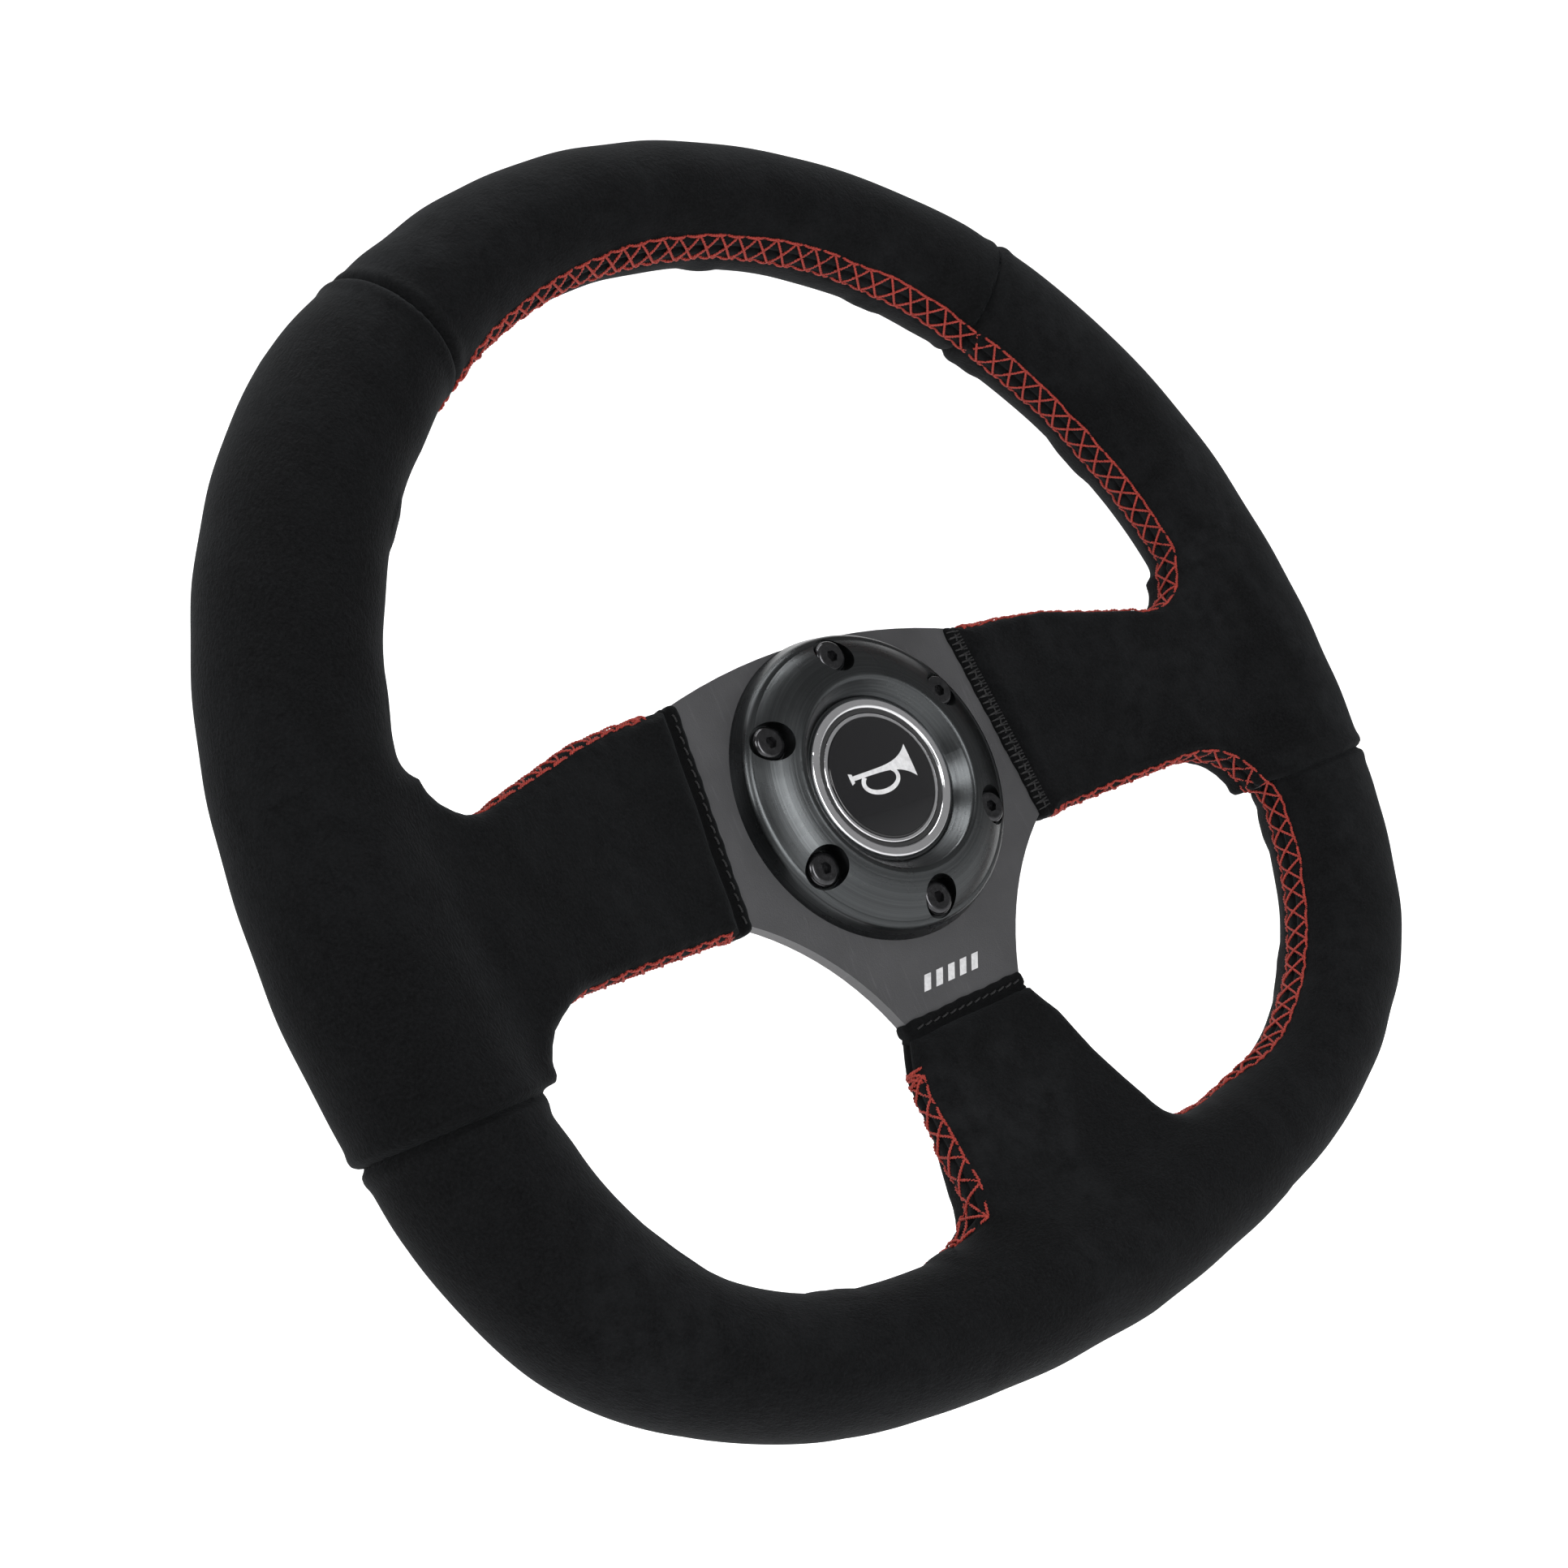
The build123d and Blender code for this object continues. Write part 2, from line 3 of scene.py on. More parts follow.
import bmesh
import bpy
import numpy as np
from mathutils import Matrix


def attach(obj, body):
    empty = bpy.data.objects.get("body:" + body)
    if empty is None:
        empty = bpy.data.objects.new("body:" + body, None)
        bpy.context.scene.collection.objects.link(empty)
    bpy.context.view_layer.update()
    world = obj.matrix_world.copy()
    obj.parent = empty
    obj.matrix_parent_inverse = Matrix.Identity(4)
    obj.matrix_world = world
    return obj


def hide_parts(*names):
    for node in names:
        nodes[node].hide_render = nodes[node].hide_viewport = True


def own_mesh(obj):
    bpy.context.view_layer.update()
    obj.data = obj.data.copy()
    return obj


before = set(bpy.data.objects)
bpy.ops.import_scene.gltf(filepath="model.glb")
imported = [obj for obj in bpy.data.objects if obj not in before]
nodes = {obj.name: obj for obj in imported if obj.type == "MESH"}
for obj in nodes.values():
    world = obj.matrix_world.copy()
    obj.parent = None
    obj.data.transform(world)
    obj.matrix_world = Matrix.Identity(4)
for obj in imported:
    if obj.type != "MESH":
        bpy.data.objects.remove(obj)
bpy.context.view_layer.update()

import openvdb
from mathutils import Matrix, Vector
from mathutils.kdtree import KDTree

scene = bpy.context.scene
rng = np.random.default_rng(7)

# --------------------------------------------------------------------------------------------------
# The grip's form, in millimetres. The rim's centreline is a flat-bottomed D of four arcs each side; the
# spokes start flat at the hub and climb 14.5 mm towards the driver before they run into the rim.
# --------------------------------------------------------------------------------------------------
PLATE_Y, RIM_Y, GRIP_DEPTH = -15.5, -32.0, 16.0
ARCS, at_x, at_z, heading = [], 0.0, -134.0, 0.0
for radius, sweep in ((365.0, 12.0), (95.0, 62.0), (218.0, 28.0)):
    cx, cz = at_x - radius * np.sin(radians(heading)), at_z + radius * np.cos(radians(heading))
    ARCS.append((cx, cz, radius, heading, heading + sweep))
    heading += sweep
    at_x, at_z = cx + radius * np.sin(radians(heading)), cz - radius * np.cos(radians(heading))
top_radius = at_x / np.sin(radians(heading))
TOP_Z = at_z + top_radius * np.cos(radians(heading))
ARCS.append((0.0, TOP_Z, top_radius, heading, 180.0))
WIDTH_AT = np.array([0, 9, 20, 40, 58, 76, 95, 115, 134, 150, 164, 180.0])
WIDTHS = np.array([17.5, 16, 15.2, 16, 18.3, 20, 20.2, 20.5, 20.3, 18, 17, 17.3])


def smooth(t):
    t = np.clip(t, 0, 1)
    return t * t * (3 - 2 * t)


def rim_place(x, z):
    """Signed distance from the rim's centreline (outwards positive) and the heading there."""
    ax = np.abs(x)
    best, offset, turn = np.full(ax.shape, 1e9), np.full(ax.shape, 1e3), np.zeros(ax.shape)
    for cx, cz, radius, first, end in ARCS:
        h = np.degrees(np.arctan2(ax - cx, -(z - cz)))
        h = np.where(h < -90, h + 360, h)
        n = np.hypot(ax - cx, z - cz) - radius
        miss = np.maximum(first - h, 0) + np.maximum(h - end, 0)
        score = np.abs(n) + 1e4 * (miss > 1e-6)
        take = score < best
        best, offset = np.where(take, score, best), np.where(take, n, offset)
        turn = np.where(take, np.clip(h, 0, 180), turn)
    return offset, turn


def rim_distance(x, y, z):
    """Distance to the rim's elliptical section, fuller at the lower corners, slimmer at the upper left."""
    n, h = rim_place(x, z)
    fuller = 2.3 * np.exp(-((h - 53) / 16) ** 2) - 1.2 * (x < 0) * np.exp(-((h - 147) / 10) ** 2)
    n, a = n - fuller / 2, np.interp(h, WIDTH_AT, WIDTHS) + fuller / 2
    k0 = np.sqrt((n / a) ** 2 + ((y - RIM_Y) / GRIP_DEPTH) ** 2) + 1e-6
    k1 = np.sqrt((n / a ** 2) ** 2 + ((y - RIM_Y) / GRIP_DEPTH ** 2) ** 2) + 1e-9
    return k0 * (k0 - 1) / k1


def outline_distance(x, z, points):
    """Signed distance to a closed outline in the wheel's plane, negative inside."""
    p = np.array(points, float)
    q = np.roll(p, -1, axis=0)
    best, inside = np.full(x.shape, 1e9), np.zeros(x.shape, bool)
    for (x0, z0), (x1, z1) in zip(p, q):
        ex, ez = x1 - x0, z1 - z0
        t = np.clip(((x - x0) * ex + (z - z0) * ez) / (ex * ex + ez * ez), 0, 1)
        best = np.minimum(best, np.hypot(x - x0 - t * ex, z - z0 - t * ez))
        cross = (z0 > z) != (z1 > z)
        inside ^= cross & (x < x0 + (z - z0) / (ez if ez else 1e-9) * ex)
    return np.where(inside, -best, best)


def corner(cx, cz, radius, first, last, steps=8):
    angles = np.radians(np.linspace(first, last, steps))
    return [(cx + radius * np.cos(a), cz + radius * np.sin(a)) for a in angles]


SIDE = [
    (52.5, 34.5), (68, 34), (84, 31.5), (98, 27), *corner(118.5, 32.5, 12, -125, -8),
    (160, 34), (160, -46), *corner(107, -44, 19.5, 10, 90), (57.5, -24.5),
]
FOOT = [
    (-21.5, -66), (21.5, -66), (26, -75), (28.5, -88), *corner(48.5, -102, 15.5, 187, 265),
    (56, -140), (-56, -140), *corner(-48.5, -102, 15.5, 275, 353), (-28.5, -88), (-26, -75),
]
PAD_EDGE, PAD_HALF, PAD_SWELL, PAD_BLEND = 4.2, 5.4, 3.4, 7.0


def ramp(t):
    """Straight climb from 0 to 1 with eased ends."""
    return 0.5 + 0.5 * (np.sqrt(t * t + 0.006) - np.sqrt((t - 1) ** 2 + 0.006))


def climb(x, z):
    """Share of the climb from the flat plate (0) to the rim's middle plane (1)."""
    return np.maximum.reduce([ramp((np.abs(x) - 64) / 76), ramp((-z - 68) / 58), smooth((z - 44) / 30)])


def middle(x, z):
    return PLATE_Y + (RIM_Y - PLATE_Y) * climb(x, z)


def pad_distance(flat, y, x, z, half):
    """Wrapped spoke: a thick sheet with rounded edges on the climbing middle surface."""
    w = np.abs(y - middle(x, z)) - half
    q = flat + PAD_EDGE
    w = w + PAD_EDGE
    return np.minimum(np.maximum(q, w), 0) + np.hypot(np.maximum(q, 0), np.maximum(w, 0)) - PAD_EDGE


def blend_min(a, b, k):
    """Union of two distances with a fillet of size k."""
    h = np.maximum(k - np.abs(a - b), 0) / k
    return np.minimum(a, b) - h * h * k / 4


def grip_distance(x, y, z, side=None, foot=None):
    """Signed distance to the whole wrapped grip, negative inside."""
    side = outline_distance(np.abs(x), z, SIDE) if side is None else side
    foot = outline_distance(x, z, FOOT) if foot is None else foot
    half = PAD_HALF + PAD_SWELL * smooth((climb(x, z) - 0.25) / 0.75)
    pads = np.minimum(pad_distance(side, y, x, z, half), pad_distance(foot, y, x, z, half))
    return blend_min(rim_distance(x, y, z), pads, PAD_BLEND)


def slope(p, step=0.25):
    """Outward direction of the grip's surface at each point."""
    g = np.stack([grip_distance(*(p + e).T) - grip_distance(*(p - e).T) for e in np.eye(3) * step], axis=1)
    return g / (np.linalg.norm(g, axis=1, keepdims=True) + 1e-9)


def onto_grip(p, rounds=2):
    """Moves points to the nearest place on the grip's surface."""
    for _ in range(rounds):
        p = p - slope(p) * grip_distance(*p.T)[:, None]
    return p


cell = 1.0
field_reach = 30.0
gx, gy, gz = np.arange(-182, 182, cell), np.arange(-54, -4, cell), np.arange(-156, 192, cell)
flat_x, flat_z = np.meshgrid(gx, gz, indexing="ij")
side_flat = outline_distance(np.abs(flat_x), flat_z, SIDE)
foot_flat = outline_distance(flat_x, flat_z, FOOT)
field = np.empty((len(gx), len(gy), len(gz)), np.float32)
for j, y in enumerate(gy):
    field[:, j, :] = grip_distance(flat_x, y, flat_z, side_flat, foot_flat)
grid = openvdb.FloatGrid(background=field_reach)
grid.copyFromArray(np.clip(field, -field_reach, field_reach))
points, quads = grid.convertToQuads(isovalue=0.0)
points = onto_grip(points * cell + np.array([gx[0], gy[0], gz[0]]))

# --------------------------------------------------------------------------------------------------
# Closing seam. Each suede panel is pulled round the foam from outside and its two edges are laced together
# on the side that faces the opening, round the rim and along the spokes. One seam runs round each opening.
# --------------------------------------------------------------------------------------------------
PITCH, ROW, SEAM_STEP = 6.4, 3.9, 0.5
UPPER_DRIFT = np.array([(-150, 9.5), (-94, 9.5), (-80, 4), (-70, -1), (-40, -3.2), (0, -5), (75, -4),
                        (120, -1.5), (155, -0.5)]).T
LOWER_DRIFT = np.array([(-40, 10), (-35, 0), (26, 0), (32, 6), (62, 6), (74, 0)]).T


def seam_drift(x, z):
    """How far the seam leaves the rim's middle plane: towards the driver over the top, away down the left."""
    return np.where(z > 0, np.interp(x, *UPPER_DRIFT), np.interp(x, *LOWER_DRIFT))


def seam_line(centre, first, last):
    """Points along one opening's closing seam, evenly spaced."""
    turn = np.radians(np.arange(first, last, 0.25))[:, None]
    reach = np.arange(4, 190, 1.0)[None, :]
    for _ in range(3):
        x, z = centre[0] + reach * np.cos(turn), centre[1] + reach * np.sin(turn)
        n, h = rim_place(x, z)
        near_rim = smooth((n + np.interp(h, WIDTH_AT, WIDTHS) + 30) / 30)
        behind = 4.5 * (z < -62) * smooth((x - 15) / 5)
        behind = behind + (z > 10) * (1.5 * smooth((x - 55) / 15) - 1.8 * smooth((-x - 70) / 12))
        y = (middle(x, z) + behind) * (1 - near_rim) + (RIM_Y + seam_drift(x, z)) * near_rim
        inside = grip_distance(x, y, z) < 0
        hit = np.argmax(inside, axis=1)
        keep = inside.any(axis=1) & (hit > 0)
        turn, hit, reach = turn[keep], hit[keep], np.broadcast_to(reach, x.shape)[keep]
        step = reach[0, 1] - reach[0, 0]
        if step < 0.02:
            break
        start = reach[np.arange(len(hit)), hit - 1]
        reach = start[:, None] + np.linspace(0, step, 12)[None, :]
    rows = np.arange(len(hit))
    x, y, z = x[keep][rows, hit], y[keep][rows, hit], z[keep][rows, hit]
    p = np.stack([x, y, z], axis=1)
    steps = np.r_[0, np.cumsum(np.linalg.norm(np.diff(p, axis=0), axis=1))]
    even = np.arange(0, steps[-1], SEAM_STEP)
    p = np.stack([np.interp(even, steps, p[:, k]) for k in range(3)], axis=1)
    for _ in range(12):
        p[1:-1] = (p[:-2] + 2 * p[1:-1] + p[2:]) / 4
    return p


SEAMS = {
    "upper": seam_line((0, 78), -38.5, 218.5),
    "lower_left": seam_line((-80, -62), 59, 355),
    "lower_right": seam_line((80, -62), -175, 121),
}

seam_frames = {}
for name, line in SEAMS.items():
    along = np.gradient(line, axis=0)
    along /= np.linalg.norm(along, axis=1, keepdims=True)
    out = slope(line)
    across = np.cross(along, out)
    across /= np.linalg.norm(across, axis=1, keepdims=True)
    seam_frames[name] = (line, across, np.arange(len(line)) * SEAM_STEP)

# --------------------------------------------------------------------------------------------------
# Suede. Black split leather, napped on the face, cut in four panels and glued over moulded foam. The panels
# meet at four butt seams across the rim; their edges are turned in, so each seam is a narrow groove.
# --------------------------------------------------------------------------------------------------
UPPER_SEAMS, LOWER_SEAM_Z = {-1: radians(53.5), 1: radians(48.5)}, -42.0
SUEDE_THICKNESS, TURNED_IN, FAR = 0.95, 0.0016, 99.0


def past_upper_seam(x, z):
    """Distance into the top panel from the butt seam on that side of the wheel."""
    angle = np.where(x < 0, UPPER_SEAMS[-1], UPPER_SEAMS[1])
    return (z - TOP_Z) * np.cos(angle) - np.abs(x) * np.sin(angle)


def shade(name, base, rough, metal=0.0, coat=0.0, sheen=0.0):
    """A principled material with its sockets set, returned with its node tree's helpers."""
    m = bpy.data.materials.new(name)
    m.use_nodes = True
    p = m.node_tree.nodes["Principled BSDF"]
    values = {"Base Color": (*base, 1), "Roughness": rough, "Metallic": metal, "Coat Weight": coat,
              "Sheen Weight": sheen, "IOR": 1.5}
    for socket, value in values.items():
        p.inputs[socket].default_value = value
    return m, m.node_tree.nodes, m.node_tree.links, p


def grain(m, scale, detail=4.0, stretch=(1, 1, 1), rough=0.6, distort=0.0):
    """Noise in the object's own space; returns its factor socket."""
    n, l = m.node_tree.nodes, m.node_tree.links
    place, mapping = n.new("ShaderNodeTexCoord"), n.new("ShaderNodeMapping")
    noise = n.new("ShaderNodeTexNoise")
    mapping.inputs["Scale"].default_value = stretch
    noise.inputs["Scale"].default_value, noise.inputs["Detail"].default_value = scale, detail
    noise.inputs["Roughness"].default_value, noise.inputs["Distortion"].default_value = rough, distort
    l.new(place.outputs["Object"], mapping.inputs["Vector"])
    l.new(mapping.outputs["Vector"], noise.inputs["Vector"])
    return noise.outputs["Fac"]


def spread(m, factor, low, high, to_low=0.0, to_high=1.0):
    """Stretches part of a factor's range to new values."""
    r = m.node_tree.nodes.new("ShaderNodeMapRange")
    r.inputs["From Min"].default_value, r.inputs["From Max"].default_value = low, high
    r.inputs["To Min"].default_value, r.inputs["To Max"].default_value = to_low, to_high
    m.node_tree.links.new(factor, r.inputs["Value"])
    return r.outputs["Result"]


def tint(m, factor, first, second):
    """Mixes two colours, or a colour socket and a colour."""
    mix = m.node_tree.nodes.new("ShaderNodeMix")
    mix.data_type = "RGBA"
    m.node_tree.links.new(factor, mix.inputs[0])
    for socket, value in ((mix.inputs[6], first), (mix.inputs[7], second)):
        if isinstance(value, tuple):
            socket.default_value = (*value, 1)
        else:
            m.node_tree.links.new(value, socket)
    return mix.outputs[2]


def relief(m, principled, layers):
    """Stacks bumps of (height socket, distance in metres, strength) on the material."""
    last = None
    for height, distance, strength in layers:
        b = m.node_tree.nodes.new("ShaderNodeBump")
        b.inputs["Distance"].default_value, b.inputs["Strength"].default_value = distance, strength
        m.node_tree.links.new(height, b.inputs["Height"])
        if last:
            m.node_tree.links.new(last, b.inputs["Normal"])
        last = b.outputs["Normal"]
    m.node_tree.links.new(last, principled.inputs["Normal"])


def product(m, first, second):
    """Multiplies two factors."""
    both = m.node_tree.nodes.new("ShaderNodeMath")
    both.operation = "MULTIPLY"
    m.node_tree.links.new(first, both.inputs[0])
    m.node_tree.links.new(second, both.inputs[1])
    return both.outputs["Value"]


def specks(m, scale, size, share):
    """Sparse dots of lint or dust: 1 inside a dot."""
    n, l = m.node_tree.nodes, m.node_tree.links
    place, cells = n.new("ShaderNodeTexCoord"), n.new("ShaderNodeTexVoronoi")
    pick = n.new("ShaderNodeSeparateColor")
    cells.inputs["Scale"].default_value = scale
    l.new(place.outputs["Object"], cells.inputs["Vector"])
    l.new(cells.outputs["Color"], pick.inputs["Color"])
    near = spread(m, cells.outputs["Distance"], size * scale, size * scale * 0.4)
    rare = spread(m, pick.outputs["Red"], 1 - share, 1 - share + 0.01)
    return product(m, near, rare)


def suede_finish(name, dark, light, shift):
    """Napped suede: brushed patches over a dark ground, lifted fibres, and a little lint."""
    m, n, l, p = shade(name, dark, 0.95, sheen=0.035)
    p.inputs["Sheen Roughness"].default_value = 0.55
    p.inputs["Sheen Tint"].default_value = (0.75, 0.8, 0.85, 1)
    p.inputs["Specular IOR Level"].default_value = 0.06
    brushed = spread(m, grain(m, 26 + shift, 5, (1, 1, 0.6), 0.62, 0.8), 0.38, 0.68)
    nap = grain(m, 1500, 3, (1, 1, 1), 0.7)
    fibres = spread(m, grain(m, 700, 2, (1, 3.5, 1), 0.5, 0.5), 0.42, 0.6)
    patch = spread(m, grain(m, 9, 3, (1, 1, 1), 0.5, 0.6), 0.42, 0.62, 0.45, 1.0)
    colour = tint(m, product(m, brushed, patch), dark, light)
    colour = tint(m, spread(m, grain(m, 170, 5, (1, 1, 1), 0.6), 0.42, 0.66, 0, 0.75), colour, dark)
    raised = tuple(1.5 * value for value in light)
    colour = tint(m, spread(m, nap, 0.35, 0.7, 0, 0.3), colour, raised)
    colour = tint(m, specks(m, 45, 0.0003, 0.16), colour, (0.09, 0.095, 0.1))
    colour = tint(m, specks(m, 95, 0.00016, 0.2), colour, (0.08, 0.085, 0.09))
    colour = tint(m, specks(m, 260, 0.00009, 0.1), colour, (0.04, 0.042, 0.044))
    l.new(colour, p.inputs["Base Color"])
    l.new(spread(m, brushed, 0, 1, 0.84, 0.98), p.inputs["Roughness"])
    relief(m, p, [(nap, 0.0003, 0.55), (fibres, 0.0002, 0.35), (grain(m, 160, 3), 0.0008, 0.35)])
    return m


def face_out(mesh, cap_sides=0):
    """Turns a mesh's faces outwards, after closing any open ends of up to cap_sides edges."""
    shape = bmesh.new()
    shape.from_mesh(mesh)
    if cap_sides:
        bmesh.ops.holes_fill(shape, edges=[e for e in shape.edges if e.is_boundary], sides=cap_sides)
    bmesh.ops.recalc_face_normals(shape, faces=shape.faces[:])
    shape.to_mesh(mesh)
    shape.free()


def show(name, mesh, material=None, smooth=True):
    """Links a mesh as an object of its own."""
    if smooth:
        mesh.shade_smooth()
    if material:
        mesh.materials.append(material)
    piece = bpy.data.objects.new(name, mesh)
    scene.collection.objects.link(piece)
    return piece


suede = suede_finish("black_suede", (0.0010, 0.00105, 0.00115), (0.0088, 0.0092, 0.0099), 0)

whole = bpy.data.meshes.new("grip")
whole.from_pydata(points.tolist(), [], quads.tolist())
grip = bmesh.new()
grip.from_mesh(whole)
bpy.data.meshes.remove(whole)
bmesh.ops.recalc_face_normals(grip, faces=grip.faces[:])


def slice_grip(point, normal, near):
    """Cuts a straight line of edges through part of the grip."""
    faces = [f for f in grip.faces if near(f.calc_center_median())]
    parts = set(faces)
    for f in faces:
        parts.update(f.edges)
        parts.update(f.verts)
    bmesh.ops.bisect_plane(grip, geom=list(parts), plane_co=point, plane_no=normal, dist=0.02)


slice_grip((0, 0, LOWER_SEAM_Z), (0, 0, 1), lambda c: abs(c.z - LOWER_SEAM_Z) < 3)
for side in (-1, 1):
    slice_grip((0, 0, TOP_Z), (-side * np.sin(UPPER_SEAMS[side]), 0, np.cos(UPPER_SEAMS[side])),
               lambda c: c.z > 60 and c.x * side > 0 and abs(past_upper_seam(c.x, c.z)) < 3)

seam_rows = [(name, k) for name, line in SEAMS.items() for k in range(len(line))]
seam_tree = KDTree(len(seam_rows))
for index, (name, k) in enumerate(seam_rows):
    seam_tree.insert(SEAMS[name][k], index)
seam_tree.balance()

close = [f for f in grip.faces if seam_tree.find(f.calc_center_median())[2] < 6.0]
fine_edges = list({e for f in close for e in f.edges})
bmesh.ops.subdivide_edges(grip, edges=fine_edges, cuts=1, use_grid_fill=True)
grip.verts.ensure_lookup_table()
place = np.array([v.co for v in grip.verts])
place = onto_grip(place, 1)
normal = slope(place)
sideways, run_at = np.full(len(place), FAR), np.zeros(len(place))
for k, p in enumerate(place):
    index, gap = seam_tree.find(p)[1:]
    if gap < 22:
        name, row = seam_rows[index]
        line, across, run = seam_frames[name]
        sideways[k] = (p - line[row]) @ across[row]
        run_at[k] = run[row]
        if gap > abs(sideways[k]) + 3:
            sideways[k] = FAR
low_gap = np.abs(place[:, 2] - LOWER_SEAM_Z)
past_upper = past_upper_seam(place[:, 0], place[:, 2])
up_gap = np.where(place[:, 2] > TOP_Z, np.abs(past_upper), FAR)
butt, off_seam = np.minimum(low_gap, up_gap), np.abs(sideways)
px, py, pz = place.T

# Height over the smooth form: butt grooves with raised lips, the panel that tapers under its neighbour, the
# closing seam's groove and needle rows, puckers where the lacing pulls, and slow waves of the stretched hide.
lift = -1.15 * np.exp(-(butt / 0.8) ** 2) + 0.45 * np.exp(-((butt - 2.6) / 1.7) ** 2)
thin = (pz < LOWER_SEAM_Z) | ((pz > TOP_Z) & (past_upper > 0))
lift -= np.where(thin, 0.55 * (1 - smooth(butt / 14)), 0)
lift += -0.75 * np.exp(-(off_seam / 0.55) ** 2) + 0.35 * np.exp(-((off_seam - 1.6) / 0.9) ** 2)
lift -= 0.3 * np.exp(-((off_seam - ROW) / 0.9) ** 2) * (0.65 + 0.35 * np.cos(2 * np.pi * run_at / PITCH))
pull = np.sin(run_at / 8.3 + 1.7 * np.sin(run_at / 31)) + np.sin(run_at / 5.1 + 2.4 * np.sin(run_at / 47))
hidden = (px < -100) | ((pz < -42) & (px < -34) & (px > -140))
away = np.exp(-((sideways + 10.5) / 3.2) ** 2) + hidden * np.exp(-((sideways - 8) / 5) ** 2)
lift += np.where(off_seam < 24, 0.85 * away * np.clip(pull - 0.8, 0, 1), 0)
wave = np.sin(pz * 0.083 + 1.7 * np.sin(py * 0.09 + px * 0.031))
lift += 0.16 * np.sin(px * 0.11 + 2.1 * np.sin(pz * 0.043)) * wave
lift += 0.10 * np.sin(px * 0.23 + pz * 0.19 + 3.0 * np.sin(pz * 0.021))
place = (place + normal * lift[:, None]) / 1000
for v, co in zip(grip.verts, place):
    v.co = co

for name in ("top", "left", "right", "bottom"):
    panel = grip.copy()
    stray = []
    for f in panel.faces:
        c = f.calc_center_median() * 1000
        above = c.z > TOP_Z and past_upper_seam(c.x, c.z) > 0
        home = "bottom" if c.z < LOWER_SEAM_Z else "top" if above else "right" if c.x > 0 else "left"
        if home != name:
            stray.append(f)
    bmesh.ops.delete(panel, geom=stray, context="FACES")
    rim_edges = [e for e in panel.edges if e.is_boundary]
    turned_in = bmesh.ops.extrude_edge_only(panel, edges=rim_edges)["geom"]
    for v in (g for g in turned_in if isinstance(g, bmesh.types.BMVert)):
        v.co -= Vector(slope(np.array([v.co]) * 1000)[0]) * TURNED_IN
    bmesh.ops.recalc_face_normals(panel, faces=panel.faces[:])
    mesh = bpy.data.meshes.new(f"suede_{name}_panel")
    panel.to_mesh(mesh)
    panel.free()
    piece = show(f"suede_{name}_panel", mesh, suede)
    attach(piece, "frame")
    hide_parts(f"suede_{name}", "grip_foam")
grip.free()

# --------------------------------------------------------------------------------------------------
# Lacing. Red waxed polyester thread, two-ply, crossed from edge to edge over each closing seam through a
# row of lock stitches along both edges. Every stitch dips into its needle hole and stands proud between.
# --------------------------------------------------------------------------------------------------
LACE_RADIUS, HEM_STITCH_RADIUS, STRAYS = 0.38, 0.26, 9


def thread(name, base, low, high, sheen):
    """Spun thread: two shades of one dye and a fine fibre relief."""
    m, n, l, p = shade(name, base, 0.6, sheen=sheen)
    fibre = grain(m, 1900, 3)
    l.new(tint(m, spread(m, fibre, 0.3, 0.7), low, high), p.inputs["Base Color"])
    relief(m, p, [(fibre, 0.0002, 0.5)])
    return m


red_thread = thread("red_thread", (0.3, 0.02, 0.012), (0.17, 0.008, 0.004), (0.4, 0.032, 0.016), 0.02)
black_thread = thread("black_thread", (0.004, 0.004, 0.0045), (0.002, 0.002, 0.0023), (0.012, 0.012, 0.013), 0.03)


def thread_mesh(name, paths, outs, radius, material, sides=6, lay=1.7):
    """Two twisted plies along each path. paths: (stitches, points, 3) in mm; outs: surface directions."""
    verts, faces = [], []
    along = np.gradient(paths, axis=1)
    along /= np.linalg.norm(along, axis=2, keepdims=True) + 1e-9
    cross = np.cross(along, outs)
    cross /= np.linalg.norm(cross, axis=2, keepdims=True) + 1e-9
    up = np.cross(cross, along)
    gone = np.cumsum(np.linalg.norm(np.diff(paths, axis=1), axis=2), axis=1)
    run = np.concatenate([np.zeros((len(paths), 1)), gone], axis=1)
    steps = paths.shape[1]
    for half in (0, np.pi):
        twist = 2 * np.pi * run / lay + half
        axis = paths + 0.55 * radius * (np.cos(twist)[..., None] * cross + np.sin(twist)[..., None] * up)
        for k in range(sides):
            a = 2 * np.pi * k / sides
            verts.append(axis + 0.62 * radius * (np.cos(a) * cross + np.sin(a) * up))
    ring = np.stack(verts, axis=2)
    ring = ring.reshape(len(paths), steps, 2 * sides, 3)
    number = np.arange(ring[..., 0].size).reshape(len(paths), steps, 2, sides)
    for ply in range(2):
        a, b = number[:, :-1, ply, :], number[:, 1:, ply, :]
        faces.append(np.stack([a, np.roll(a, -1, axis=2), np.roll(b, -1, axis=2), b], axis=-1).reshape(-1, 4))
    mesh = bpy.data.meshes.new(name)
    mesh.from_pydata((ring.reshape(-1, 3) / 1000).tolist(), [], np.concatenate(faces).tolist())
    face_out(mesh, cap_sides=sides)
    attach(show(name, mesh, material), "frame")


def between(start, end, t):
    """Straight paths from each start to its end."""
    return start[:, None, :] * (1 - t) + end[:, None, :] * t


def steps_to_one(count):
    return np.linspace(0, 1, count)[None, :, None]


def sample(values, run, at):
    """Values of a seam's rows at distances along it."""
    return np.stack([np.interp(at, run, values[:, k]) for k in range(3)], axis=1)


